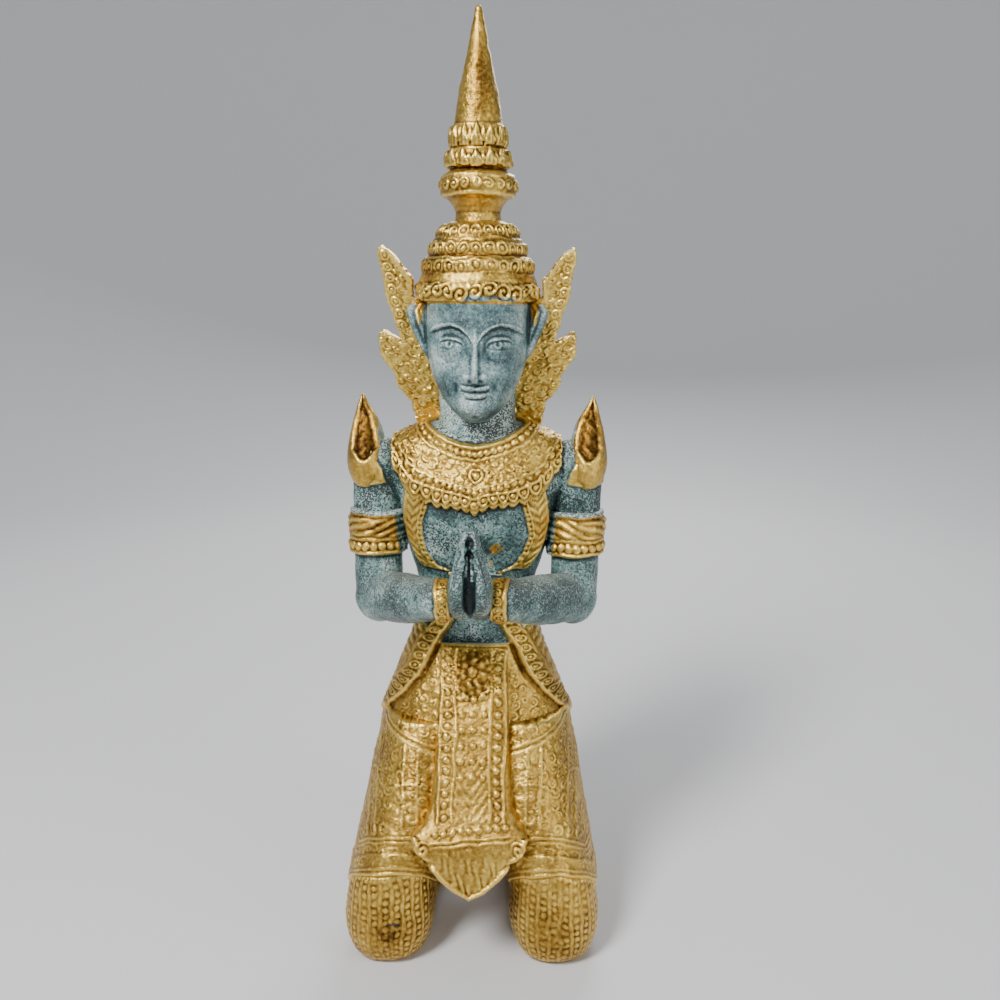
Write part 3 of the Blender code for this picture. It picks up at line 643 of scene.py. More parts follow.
def apron_relief(x, y, mark, normal):
    """Ridges, bead columns and buckle of the panel, and the flutes of its leaf."""
    away = np.abs(x)
    front = smooth_step(0.0, -0.5, normal[:, 1])
    panel = smooth_step(41.6, 42.6, mark)
    girdle = smooth_step(73.5, 75, mark)
    rise = panel * (0.42 * hump(away, 9.4, 0.45) + 0.36 * hump(away, 5.2, 0.38))
    rise += panel * 0.62 * bead(away - 7.4, nearest(mark, 2.9), 1.0)
    chevron = 0.14 * (0.5 + 0.5 * np.cos((mark - away * 1.3) * 2.3)) * smooth_step(60, 53, mark)
    dots = 0.4 * bead(nearest(away, 3.4), nearest(mark, 4.1), 0.9) * smooth_step(48, 54, mark)
    rise += panel * smooth_step(4.9, 4.4, away) * (chevron + dots) * (1 - girdle)
    rise += 0.42 * girdle * tracery(x, mark, 2.7, 7)
    buckle = np.hypot(x, mark - BUCKLE_MARK)
    turn = np.arctan2(x, mark - BUCKLE_MARK)
    petals = 0.5 + 0.5 * np.cos(turn * 7 + 0.5 * np.sin(mark * 2))
    rounds = 0.5 + 0.5 * np.cos(turn * 13 + 1)
    flower = 1.1 * smooth_step(6.6, 2.6, buckle) + 0.7 * petals * hump(buckle, 3.3, 1.0)
    flower += 0.4 * rounds * hump(buckle, 5.2, 0.7) + 0.7 * bead(x + 0.2, mark - 80.4, 1.5)
    rise = rise * (1 - smooth_step(6.2, 5.2, buckle)) + smooth_step(6.4, 5, buckle) * flower
    rise += 0.6 * bead(nearest(x, 2.3), mark - 73.6 - 0.12 * x**2, 1.05) * (away < 4.6)
    tilt = mark - 0.09 * x + 0.1 * np.sin(x * 0.8)
    foot = 0.3 * hump(tilt, 38.2, 0.36) + 0.3 * hump(tilt, 36.9, 0.34)
    scrolls = 0.22 * tracery(x, tilt, 2.4, 3) * hump(tilt, 34.9, 1.1)
    foot += 0.42 * bead(nearest(x, 2.5), tilt - 40.4, 0.9) + scrolls
    foot *= smooth_step(12.5, 11.0, away) * (mark < 42)
    leaf = smooth_step(34.0, 32.6, mark)
    flutes = 0.16 * np.cos((x + 0.5 * np.sin(mark * 0.8 + x)) * 2 * math.pi / 2.3)
    edge = np.interp(mark, [row[0] for row in LEAF], [row[1] for row in LEAF]) - away
    rim = 0.75 * hump(edge, 1.3, 0.9) * (mark < 38.4)
    notch = 1.6 * hump(mark, 31.6, 0.9) * smooth_step(3.4, 0.4, edge)
    corner = 0.5 * curl(away - 13.6, mark - 35.8, 2.4, 1) * (mark < 38.4) * (away > 10.8)
    rise += foot + leaf * flutes * smooth_step(2.2, 3.2, edge) + rim + corner - notch
    shade = 0.22 * smooth_step(6.4, 4.4, buckle) - 0.07 * leaf * smooth_step(1.4, 2.6, edge)
    return rise * front - notch * (1 - front), np.ones_like(x), shade * front


rows = even([(mark, half, front, front + thick) for mark, half, front, thick in LEAF] + PANEL)
forms = [loft(rows, steps=60, power=5.0, smooth=False)]
apron = chased(melted("apron", forms, 0.34), apron_relief, rough=0.08, wander=0.42, worn=0.3)
set_up("apron", apron, gold_of_the_dress)

# Torso with neck, shoulders and upper arms, the casting's bare skin, chemically patinated blue-green.
# Its broad collar and the straps that frame the chest are cast on it, and only they were gilded.

TORSO = [(80, 19.5, -15, 13), (90.2, 17.7, -13.2, 11.5), (98, 16.8, -12.6, 10.8), (106.4, 18.5, -13.6, 11.2),
         (114.8, 21, -15.6, 12), (123.2, 22.6, -17, 13), (131, 24.5, -16.5, 13.5), (137.6, 28.5, -14.2, 13),
         (142, 28, -12.4, 12.6), (145.4, 26, -11.4, 12.2), (148.4, 22.5, -10.2, 11.6),
         (150.6, 17.5, -8.6, 11), (152.6, 13, -7.2, 10)]
NECK = [(142, 14, -10.5, 11), (148, 12.9, -9.8, 10.2), (153, 11.7, -9.4, 9.8), (163, 11.7, -10, 11)]
COLLAR_RADIUS = 20
SHOULDER = [(30.3, 0, 137, 7.7), (30.3, -1.3, 127, 7.55), (30.3, -2.3, 120, 7.4)]
STRAP_EDGE = ([110, 111, 114, 118.7, 124, 130, 136], [14.6, 16.2, 18.4, 20.3, 21.4, 21.2, 20])
CHEST_CORD = ([108.6, 109.6, 111.5, 115, 120.7, 124.7, 131, 136], [0, 7.7, 12, 15, 16.3, 16, 14.4, 13])
GOLD_SMEARS = [(1, 6.4, 2.6, 117.0, 1.7), (1, 5.0, 1.3, 113.2, 2.2)]
BELLY_STAINS = [(1, 0, 9, 118, 6), (1, 0, 5, 97, 3)]

forms = [loft(even(rows), steps=70, sides=64) for rows in (TORSO, NECK)]
for side in (-1, 1):
    forms.append(ball((side * 29, 0.5, 138), (9.0, 8.6, 9.6)))
    forms += limb(SHOULDER, side)


def seats(turn, reach, count, shift=0.0):
    """Distance round the figure's axis from the nearest of evenly spaced seats."""
    return nearest(turn, 2 * math.pi / count, shift) * reach


def stains(table, x, mark):
    """Soft oval spots; a row is (strength, x, half width, mark, half height)."""
    return sum(much * hump(x, at, wide) * hump(mark, up, tall) for much, at, wide, up, tall in table)


def collar_relief(x, y, mark):
    """Rise of the collar and how much of it is gold: bead rows, scrolls and scalloped lappets."""
    turn = np.arctan2(x, -y)
    reach = np.hypot(x, y * 1.15)
    out = reach - 12.5 + 0.9 * (145.2 + 0.33 * (y + 12) - mark)
    edge = np.interp(np.abs(turn), [0, 0.4, 0.8, 1.0, 1.3, 2], [19.6, 20, 21, 22.2, 18.6, 17.2])
    edge = edge + 1.5 * hump(turn, 0, 0.14) + 1.0 * np.abs(np.cos(turn * 20))
    share = out / edge
    on = (mark > 121) & (mark < 155) & (np.abs(x) < 28.4) & (y > -27)
    body = smooth_step(1.02, 0.98, share) * smooth_step(-0.1, -0.02, share)
    scallop = 0.5 * np.abs(np.cos(mark * 1.25))
    limit = np.interp(mark, [126, 138, 147], [22.8, 24.4, 25.2]) + scallop - np.abs(x)
    on = on * smooth_step(0.0, 0.5, limit)
    carved = 0.4 * hump(share, 0.01, 0.022) + 0.36 * hump(share, 0.2, 0.02)
    carved += 0.5 * bead(seats(turn, reach, 44), out - 0.105 * edge, 1.0)
    field = smooth_step(0.22, 0.25, share) * smooth_step(0.63, 0.60, share)
    carved += 0.42 * field * tracery(turn * COLLAR_RADIUS, out, 2.7, 12)
    medal = np.hypot(turn * reach, out - 0.44 * edge)
    flower = 0.7 * bead(medal, 0, 1.3) + 0.5 * hump(medal, 2.1, 0.45) - 0.2
    carved = np.where(medal < 3.0, flower, carved)
    carved += 0.36 * hump(share, 0.645, 0.017) + 0.4 * bead(seats(turn, reach, 56), out - 0.70 * edge, 0.85)
    carved += 0.55 * rosette(seats(turn, reach, 40), out - 0.85 * edge, 1.9) * (share > 0.74)
    carved += 0.3 * bead(seats(turn, reach, 40, 0.5), out - 0.79 * edge, 0.7) + 0.4 * hump(limit, 0.9, 0.4)
    gilt = on * smooth_step(1.03, 1.0, share) * smooth_step(-0.1, -0.05, share)
    return on * body * (1.3 + 1.2 * carved), gilt, share


def torso_relief(x, y, mark, normal):
    """Collar, straps and belly border on plain skin, with the creases of the neck."""
    away = np.abs(x)
    rise, gilt, share = collar_relief(x, y, mark)
    chest = (y < 0) & (normal[:, 1] < 0.1) & (mark > 106) & (mark < 137) & (y > -24) & (share > 1.0)
    outer = np.interp(mark, *STRAP_EDGE)
    cord = np.interp(mark, *CHEST_CORD)
    strap = smooth_step(cord + 0.2, cord + 0.7, away) * smooth_step(outer + 0.3, outer - 0.1, away)
    strap *= smooth_step(109.6, 110.4, mark) * chest
    middle = (cord + outer) / 2
    veins = 0.5 + 0.5 * np.cos((mark - 1.0 * np.abs(away - middle)) * 2 * math.pi / 2.7)
    edging = hump(away, outer - 0.5, 0.45)
    lace = smooth_step(0.95, 0.35, np.abs(away - cord)) * smooth_step(108.0, 108.7, mark) * chest
    lace = np.maximum(lace, chest * hump(mark, 108.8, 0.5) * (away < 7.9))
    laced = lace * (0.6 + 0.15 * np.cos(mark * 4))
    rise += strap * (0.6 + 0.36 * veins * (1 - edging) + 0.45 * edging) + laced
    worn = smooth_step(108.2, 110.6, mark + 0.9 * np.sin(away))
    gilt = np.maximum(gilt, np.maximum(strap, lace * smooth_step(0.2, 0.6, worn)))
    border = np.interp(mark, *BORDER)
    run, off = along_border(away, mark)
    belly = smooth_step(-0.3, 0.3, away - border) * smooth_step(border + 4.5, border + 3.9, away)
    belly *= (mark > 86) & (mark < 97) & (y < -4) & (away < 16)
    beads = 0.45 * rosette(nearest(run, 3.2), off - 1.7, 1.2) + 0.4 * hump(off, 0.2, 0.38)
    beads += 0.34 * hump(off, 3.2, 0.36)
    rise += belly * (1.5 + beads)
    gilt = np.maximum(gilt, belly)
    pad = smooth_step(0.0, 1.0, away - np.interp(mark, [134, 139, 146], [26.4, 28.0, 32.0]))
    pad *= smooth_step(4.0, 1.0, y) * smooth_step(147, 144, mark)
    pad *= smooth_step(133.6, 134.6, mark - 0.02 * (away - 33) ** 2)
    rise += 0.7 * pad
    gilt = np.maximum(gilt, pad)
    rise = np.where((away > 23.2) & (mark < 124), -0.9, rise)
    lines = hump(mark, 149.2 + 0.02 * x**2, 0.35) + hump(mark, 152.0 + 0.02 * x**2, 0.3)
    rise -= 0.14 * lines * (y < 0) * (away < 12)
    smear = stains(GOLD_SMEARS, x, mark) * (y < -8) * smooth_step(-0.7, 0.0, lumps(x, y, mark, 1.1, 53))
    nape = smooth_step(14.5, 12.5, np.hypot(x, y)) * (mark > 146)
    stain = stains(BELLY_STAINS, x, mark) * (y < 0)
    return rise, np.maximum(gilt, 0.9 * smear), (0.12 * stain - 0.26 * nape) * (1 - gilt) - 0.12 * strap


torso = chased(melted("torso", forms, 0.4), torso_relief, rough=0.08, worn=0.25)
# Painted light: a copy of the gold painted as if more strongly lit, with paler painted highlights, for the
# collar, ear flames, crown and spire.
PAINTED_LIGHT_GOLD = {"deep": (0.046, 0.019, 0.003), "dull": (0.22, 0.112, 0.017), "mid": (0.53, 0.330, 0.058),
               "bright": (0.88, 0.635, 0.155)}
patinated_skin = weathered_with_painted_light("patinated_skin", gold=PAINTED_LIGHT_GOLD, speckle=1.0, clouds=1.3)
set_up("torso", torso, patinated_skin)

# Forearms with their armlets and bracelets, raised to bring the palms together.
# An armlet is a rolled rim, two ropes and a row of beads, gilded except on its inner side.

UPPER_ARM = [(30.3, -2.0, 122.4, 7.4), (30.1, -4.0, 109, 7.3), (29.6, -6, 99, 7.2)]
FOREARM = [(29.6, -6.5, 99.5, 7.5), (19.05, -22, 103.2, 7.3), (8.5, -37.5, 107.4, 5.3)]
ARM_RADIUS = 8.6
WRIST_RADIUS = 6.2
ARMLET_TOP = 126.0
ARMLET_END = 113.0

forms = []
for side in (-1, 1):
    forms += limb(UPPER_ARM, side)
    forms.append(ball((side * 29.6, -6.6, 99), (7.2, 7.4, 7.6)))
    forms += limb(FOREARM, side)


def arm_relief(x, y, mark, normal):
    """Armlet of rim, ropes and beads on the upper arm, and a cuff of rosettes at the wrist."""
    away = np.abs(x)
    upper = (mark > 108) & (y > -16)
    turn = np.arctan2(away - 30.4, -(y + 3))
    around = turn * ARM_RADIUS
    band = smooth_step(ARMLET_TOP + 0.3, ARMLET_TOP - 0.3, mark)
    band *= smooth_step(ARMLET_END - 0.3, ARMLET_END + 0.3, mark)
    share = (mark - ARMLET_END) / (ARMLET_TOP - ARMLET_END)
    twist = np.cos((0.55 * around + 1.9 * mark + 0.9 * np.sin(around * 0.45 + 1)) * 2 * math.pi / 4.4)
    rolls = 0.7 * hump(share, 0.93, 0.06) + 0.35 * hump(share, 0.35, 0.035) + 0.5 * hump(share, 0.04, 0.05)
    creased = 0.4 + 0.22 * twist + 0.3 * lumps(around, 1.6 * mark, y, 2.4, 31)
    rolls += creased * smooth_step(0.38, 0.46, share) * smooth_step(0.86, 0.78, share)
    rolls += 0.75 * bead(nearest(around, 2.6), mark - ARMLET_END - 2.5, 1.3)
    rise = upper * band * (1.2 + rolls)
    rise = np.where(mark > ARMLET_TOP + 0.4, -1.6, rise)
    inner = smooth_step(0.9, 0.5, np.abs(turn + 1.6))
    gilt = upper * band * (1 - 0.8 * inner) * smooth_step(0.93, 0.86, share)
    cuff_at = np.abs(away - 7.7 - 0.08 * (mark - 106))
    wrist = (y < -27) & (y > -48) & (mark < 119) & (mark > 97)
    cuff = smooth_step(2.3, 1.9, cuff_at) * wrist
    tilt = np.arctan2(mark - 106.5, -(y + 37)) * WRIST_RADIUS
    rise += cuff * (0.6 + 0.4 * hump(cuff_at, 1.6, 0.4) + 0.6 * rosette(nearest(tilt, 2.3), away - 7.7, 1.1))
    rise -= 0.12 * (1 - cuff) * hump(away, 26, 1.2) * (mark < 106)
    browned = upper * band * hump(x, -29, 3.5) * hump(share, 0.6, 0.2)
    return rise, np.maximum(gilt, cuff), 0.3 * browned


arms = chased(melted("arms", forms, 0.4), arm_relief, wander=0.42, worn=0.3)
handled_skin = weathered_with_painted_light("handled_skin", speckle=0.85, clouds=1.15, matt=0.36)
set_up("arms", arms, handled_skin)

# Hands pressed palm to palm, fingertips up, patinated as the arms are.
# The gap between the fingers is painted nearly black as painted shade.

PALM = [(103.5, -0.3, 4.8, -42.5, -34.5), (107, -0.3, 6.0, -47, -34.5), (112, -0.2, 5.9, -50, -36.5),
        (118, 0.0, 4.7, -50.5, -39.5), (124, 0.1, 3.4, -49.6, -42.5), (127.3, 0.1, 2.4, -48.6, -43.6),
        (128.9, 0.1, 1.4, -47.3, -44.6)]


def hand_relief(x, y, mark, normal):
    """Grooves between the fingers on each hand's back, and the seam between the palms, painted dark as
    painted shade.
    """
    away = np.abs(x)
    lean = y + 46 + (mark - 112) * 0.08
    fingers = smooth_step(112.5, 114.5, mark) * smooth_step(1.6, 2.4, away)
    rise = -0.5 * fingers * hump(nearest(lean, 2.75), 0, 0.42)
    thumb = smooth_step(118, 116, mark) * smooth_step(106, 108, mark)
    rise += 0.45 * thumb * hump(lean - 4.5, 0, 1.2) * (away > 1.5)
    wide = np.where(mark > 119, 0.9, 1.5)
    seam = (normal[:, 1] < -0.3) * hump(x, 0.15, wide)
    broken = 0.5 + 0.5 * np.cos((mark - 126.5) * 2 * math.pi / 3.4)
    rise -= seam * np.where(mark > 120.5, 1.2 * broken, 1.3 * smooth_step(104, 108, mark))
    # Painted shade along the seam between the palms.
    return rise, np.zeros_like(x), 0.34 * seam * smooth_step(104, 108, mark)


forms = both_sides(PALM, steps=36, sides=40, power=2.4)
hands = chased(melted("hands", forms, 0.3, passes=2), hand_relief, rough=0.04, wander=0.15, worn=0.3)
set_up("hands", hands, handled_skin)

# Flame finials that rise from the epaulettes, cast with the shoulders.
# Each is gilded outside, cupped and painted darker in front, and bare along its back and inner edges.

FINIAL = [(133.4, 30.4, 36, -8.2, -1), (136, 27.6, 38.2, -9.5, 4), (140, 27.2, 39.4, -9.7, 6),
          (144, 27.8, 39.4, -8.6, 6.6), (147.5, 28.4, 38.9, -6.6, 6.6), (151, 29.4, 38.2, -4.6, 6),
          (154.5, 31.2, 37.2, -2.4, 5), (158, 33.4, 36.4, -0.2, 4.2), (160.6, 34.6, 35.4, 1.2, 3)]


def finial_relief(x, y, mark, normal):
    """Hollow in front of the flame, painted darker, between its two raised edges."""
    away = np.abs(x)
    lean = away - np.interp(mark, [133, 147, 155, 161], [33.2, 33.6, 34.3, 35])
    wide = np.interp(mark, [140.5, 145, 150, 155, 160], [0.2, 4.1, 4.0, 2.6, 0.7])
    cup = smooth_step(wide, wide - 1.1, np.abs(lean)) * smooth_step(141, 143, mark)
    cup *= smooth_step(-0.1, -0.4, normal[:, 1])
    rise = -1.1 * cup + 0.12 * cup * np.sin(mark * 1.6 + away)
    inward = smooth_step(0.1, 0.6, -np.sign(x) * normal[:, 0]) * smooth_step(-0.2, 0.2, normal[:, 1])
    back = np.maximum(smooth_step(-0.2, 0.5, normal[:, 1]), inward)
    ragged = lean + 0.8 * lumps(x, y, mark, 2.0, 55)
    back = np.maximum(back, smooth_step(-3.4, -4.6, ragged))
    return rise, 1 - 0.9 * back, 0.42 * cup


forms = both_sides(FINIAL, steps=36, sides=40, power=2.0)
finials = chased(melted("shoulder_finials", forms, 0.36), finial_relief)
set_up("shoulder_finials", finials, gold_of_the_dress)

# Head with its calm, smiling face and long ears, smoother than the body and of the same patina.
# Brows are thin arches, and the eyes are half closed under heavy lids.

HEAD = [(153.6, 3.5, -12, 4), (156, 6.6, -15.8, 8), (160, 10.1, -16.8, 12), (164, 12.1, -17.1, 14),
        (168.5, 13.7, -17.3, 15.2), (174, 15.0, -17.4, 16.2), (180, 15.4, -17.3, 16.8),
        (187, 15.2, -16.9, 17), (192.5, 15, -16.4, 16.6), (201, 10, -11, 11)]
EAR = [(171, 12.4, 14.6, -4, 3), (173.5, 13, 16.2, -5.6, 3), (177, 13.6, 18.0, -6.2, 3.6),
       (182, 14.0, 20.2, -6.4, 4), (185.6, 14.2, 21.1, -5.4, 4), (187.8, 14.4, 19.6, -4, 3)]
NOSE = ([160, 165.3, 166.2, 167.4, 168.8, 171, 175, 178, 181, 190],
        [0, 0, 1.9, 3.5, 3.3, 2.4, 1.5, 0.8, 0, 0])
BROW = ([0.4, 2, 4.5, 7.2, 10, 12.5, 14], [176.2, 178.9, 180.9, 181.7, 181.3, 180.3, 179.2])
EYE_MIDDLE = 7.2
EYE_HALF_WIDTH = 3.8
# Dark spots on the face: stains on the cheeks and forehead, and painted shade beside the nose on the right.
STAINS_AND_PAINTED_SHADE = [(0.9, -6.5, 3.0, 167, 3.2), (1, 6.8, 2.8, 166.5, 4.2), (0.8, 3.2, 1.4, 174.5, 3.5),
               (0.5, 8, 4, 184, 3)]
# Light spots on the face, painted highlights: forehead, under the left eye, the right side of the face and
# the chin.
PAINTED_HIGHLIGHT_SPOTS = [(1, -6, 5, 183.5, 4), (1, -7, 3.5, 172.3, 1.8), (1, 11.5, 2, 172, 6), (1, -1, 3, 160, 1.3)]


def face_relief(x, y, mark, normal):
    """Brows, sharp nose, half-closed eyes and thin smiling lips, with the ears' rims at the sides."""
    away = np.abs(x)
    front = smooth_step(0.25, -0.25, normal[:, 1]) * smooth_step(15.6, 13.5, away)
    front *= smooth_step(188, 186, mark) * (mark > 154) * (y < -4)
    ridge = through(*NOSE, np.clip(mark, 160, 190))
    width = np.interp(mark, [165, 168, 173, 179], [1.5, 1.25, 0.95, 1.0])
    rise = ridge * np.exp(-((away / width) ** 1.3))
    rise += 0.9 * hump(away, 2.5, 0.8) * hump(mark, 167.2, 1.1)
    nostril = hump(away, 1.5, 0.6) * hump(mark, 166.0, 0.5)
    rise -= 0.5 * nostril
    brow_mark = np.interp(away, *BROW)
    under = smooth_step(-0.1, 0.7, brow_mark - mark) * smooth_step(9.5, 2.0, brow_mark - mark)
    rise -= 1.1 * under * smooth_step(0.6, 4.4, away) * smooth_step(13.8, 11.5, away)
    brow = smooth_step(14, 12.4, away) * smooth_step(0.2, 1.2, away)
    rise += 0.24 * hump(mark - brow_mark, 0.3, 0.34) * brow - 0.14 * hump(mark - brow_mark, -0.5, 0.3) * brow
    s = (away - EYE_MIDDLE) / EYE_HALF_WIDTH
    centre = 175.9 + 0.3 * s
    lid = np.sqrt(np.clip(1 - s**2, 0, 1))
    tall = np.where(mark > centre, 2.9, 4.4)
    rise += 0.95 * np.clip(1 - (s * 0.85) ** 2 - ((mark - centre) / tall) ** 2, 0, 1)
    upper = centre + 1.45 * lid
    lower = centre - 0.85 * lid**0.8
    open_eye = smooth_step(0.0, 0.3, upper - mark) * smooth_step(0.0, 0.3, mark - lower) * (np.abs(s) < 1)
    rise -= 0.22 * open_eye
    rise += 0.2 * hump(mark, upper + 0.6, 0.4) * lid - 0.3 * hump(mark, upper, 0.26) * lid
    rise -= 0.15 * hump(mark, upper + 1.5, 0.3) * lid
    rise += 0.12 * hump(mark, lower - 0.4, 0.35) * lid
    iris = np.hypot(away - 7.0 + 0.5 * np.sign(x), mark - centre - 0.55)
    rise += open_eye * (0.2 * hump(iris, 0.95, 0.28) - 0.3 * hump(iris, 0, 0.4))
    rise += 0.7 * hump(away, 8.2, 4.0) * hump(mark, 168.5, 4.0)
    line = 162.5 + 0.05 * away**2
    wide = np.sqrt(np.clip(1 - (away / 4.1) ** 2, 0, 1))
    narrow = np.sqrt(np.clip(1 - (away / 3.2) ** 2, 0, 1))
    bow = line + 1.15 + 0.2 * hump(away, 1.5, 0.7)
    rise += 0.95 * wide * hump(mark, bow, 0.6) + 1.05 * narrow * hump(mark, line - 0.85, 0.6)
    parting = wide * hump(mark, line, 0.26)
    rims = wide * hump(mark, bow + 0.85, 0.26) + narrow * hump(mark, line - 1.75, 0.35)
    rise -= 0.6 * parting + 0.26 * rims
    corner = hump(away, 5.6, 0.7) * hump(mark, 163.8, 1.5)
    rise -= 0.4 * corner
    rise += 0.8 * hump(away, 0, 3.0) * hump(mark, 158.0, 2.0)
    rise -= 0.5 * hump(away, 0, 1.0) * hump(mark, 155.6, 0.7)
    rise = rise * front
    ear_edge = np.interp(mark, [row[0] for row in EAR], [row[2] for row in EAR]) - away
    ear = smooth_step(15.2, 16.0, away) * (mark > 171) * (mark < 188) * (y < 2)
    fold = hump(ear_edge, 2.4, 0.5) + 0.6 * hump(ear_edge, 4.3, 0.4)
    rise += ear * (0.3 * hump(ear_edge, 1.1, 0.6) - 0.3 * fold)
    rise -= 0.2 * hump(away, 15.1, 0.35) * (mark > 176) * (mark < 188) * (y < -2)
    # Stains on the cheeks and forehead, painted shade beside the nose and under the chin, and painted
    # highlights from the light spots.
    stains_and_painted_shade = stains(STAINS_AND_PAINTED_SHADE, x, mark) + 0.8 * hump(mark, 156.8, 1.8)
    rubbed_and_highlit = stains(PAINTED_HIGHLIGHT_SPOTS, x, mark)
    # Painted shade in the pupil, the iris ring, the nostrils, the lid lines, the lip parting and rims, the
    # mouth corners and under the brows; the rest of the open eye is painted lighter.
    shade = open_eye * (0.7 * hump(iris, 0, 0.55) + 0.34 * hump(iris, 1.35, 0.32) - 0.24) + 0.42 * nostril
    shade += (0.6 * hump(mark, upper, 0.34) + 0.16 * hump(mark, upper + 1.5, 0.3)) * lid
    shade += 0.42 * hump(mark, lower - 0.1, 0.28) * lid + 0.4 * parting + 0.2 * rims
    shade += (0.14 + 0.1 * (x < 0)) * corner + 0.2 * hump(mark - brow_mark, -0.55, 0.35) * brow
    # Painted shadow down the right side of the nose.
    shade += 0.55 * hump(x, 0.9, 0.45) * hump(mark, 172, 5)
    # Painted shade in the ear folds and in the notch in front of the ears.
    shade = (shade + 0.26 * stains_and_painted_shade - 0.13 * rubbed_and_highlit) * front + 0.14 * ear * fold
    shade += 0.14 * hump(away, 15.1, 0.35) * (mark > 176) * (y < -2)
    temple = hump(away, 16.8, 0.5 + 1.1 * smooth_step(181, 187, mark)) * smooth_step(180.5, 182.5, mark)
    temple *= y < 0
    return rise, np.maximum(smooth_step(187.2, 188.0, mark), 0.9 * temple), shade


forms = [loft(even(HEAD), steps=60, sides=64)] + both_sides(EAR, steps=28, sides=36)
head = chased(melted("head", forms, 0.31), face_relief, rough=0.03, reach=12, wander=0.0, worn=0.0)
FACE_PATINA = {"deep": (0.010, 0.026, 0.028), "dull": (0.066, 0.132, 0.138), "mid": (0.182, 0.290, 0.288),
               "bright": (0.50, 0.60, 0.58)}
skin_of_the_face = weathered_with_painted_light("patinated_face", patina=FACE_PATINA, speckle=0.6, clouds=1.6)
set_up("head", head, skin_of_the_face)

# Flame ornaments behind the ears, thin castings fretted with scrolls, gilded more thinly behind.
# The upper tongue curls up and out, and the lower one hangs in front of the lobe to the shoulder.

FLAME_THICKNESS = 3.4
FLAME_LEAN = -0.24
FLAME_MIDDLE = 178.0
FLAME = [(11, 186), (19.5, 190), (19, 194.5), (22.3, 199), (24.3, 202), (28.1, 204.6), (28.9, 203),
         (28.3, 199.8), (27.5, 196.2), (27.3, 193.4), (26.7, 188.6), (25.7, 187), (24.9, 183.4),
         (23.9, 180.6), (22.9, 176.2), (26.4, 178.2), (28.8, 179.6), (29.5, 177.4), (29.3, 173.4),
         (27.7, 170.2), (25.1, 166.5), (24.9, 163.3), (23.1, 161), (20.6, 157.6), (19.8, 154),
         (19.2, 150.4), (16.7, 148.8), (12.8, 149.8), (10.8, 153), (9, 160)]

forms = []
for side in (-1, 1):
    form = bmesh.new()
    corners = [form.verts.new((side * x * MARK, 0.0, (mark - FLAME_MIDDLE) * MARK)) for x, mark in FLAME]
    face = form.faces.new(corners)
    grown = bmesh.ops.extrude_face_region(form, geom=[face])
    moved = [element for element in grown["geom"] if isinstance(element, bmesh.types.BMVert)]
    bmesh.ops.translate(form, verts=moved, vec=(0.0, FLAME_THICKNESS * MARK, 0.0))
    bmesh.ops.translate(form, verts=form.verts, vec=(0.0, -FLAME_THICKNESS / 2 * MARK, 0.0))
    bmesh.ops.rotate(form, verts=form.verts, cent=(0, 0, 0), matrix=Matrix.Rotation(-FLAME_LEAN, 3, "X"))
    bmesh.ops.translate(form, verts=form.verts, vec=place(0.0, 2.0, FLAME_MIDDLE))
    forms.append(form)


def flame_relief(x, y, mark, normal):
    """Scrolls and ringed beads along the tongues, with a plain bevel on their inner edge."""
    away = np.abs(x)
    lean = away * 0.86 - (mark - FLAME_MIDDLE) * 0.5
    crumbled = lumps(x, y, mark, 1.5, 17)
    rise = 0.62 * tracery(lean, mark, 2.5, 4) + 0.3 * crumbled
    tongue = smooth_step(186, 190, mark)
    inner = np.interp(mark, [188, 194.5, 199, 204.6], [18.5, 19, 22.3, 28.1])
    plain = tongue * smooth_step(2.2, 1.2, away - inner)
    rise = rise * (1 - plain) + 0.22 * plain
    outer = np.interp(mark, [176, 187, 193, 200, 204.6], [22.9, 25.7, 27.3, 28.3, 28.9])
    rings = rosette(outer - away - 1.8, nearest(mark, 3.3), 1.4)
    rise = np.where((mark > 181) & (outer - away < 3.3), 0.55 * rings + 0.2 * crumbled, rise)
    face = smooth_step(0.3, 0.7, np.abs(normal[:, 1]))
    teeth = (0.3 * np.cos(mark * 2 * math.pi / 2.9 + 2 * np.sin(mark * 0.7)) + 0.4 * crumbled) * (1 - face)
    rise = rise * face * np.where(normal[:, 1] > 0, 0.6, 1.0) + 0.25 * face + teeth * (mark < 200)
    # Painted light: the front and sides of the flames are lightened, and the lower tongues by the neck more.
    painted_light = (0.14 + 0.14 * smooth_step(162, 153, mark)) * (normal[:, 1] < 0.3)
    return rise, smooth_step(0.75, 0.3, normal[:, 1]) * 0.5 + 0.5, -painted_light


flames = chased(melted("ear_flames", forms, 0.34, passes=2), flame_relief, rough=0.1, wander=0.45, worn=0.2)
gold_of_the_crown = weathered_with_painted_light("gilded_crown", gold=PAINTED_LIGHT_GOLD)
set_up("ear_flames", flames, gold_of_the_crown)

# Crown of three beaded tiers over a diadem of curled leaves, a turned form in the wax pattern.
# Its ornament was pressed in row by row, so that every tier is a ring of one repeated motif.

CROWN = [(211.2, 7.4), (210.6, 9.6), (210, 10.6), (208, 12.0), (206, 12.8), (205.5, 13.2), (204.6, 14.0),
         (202, 14.4), (201.2, 14.3), (200.8, 15.6), (199.6, 16.3), (197, 16.6), (196.2, 16.6), (195.6, 17.0),
         (194.4, 17.5), (193.6, 17.6), (189.4, 17.5), (188.2, 17.2), (187.6, 14.0)]
# Each tier of arches: rise, count, mark of the seats, radius, and between which marks it shows.
TIERS = [(0.65, 22, 208.0, 1.6, 206.4, 210.2), (0.6, 24, 203.0, 1.7, 201.5, 205.0),
         (0.6, 26, 198.1, 1.9, 195.9, 200.6)]


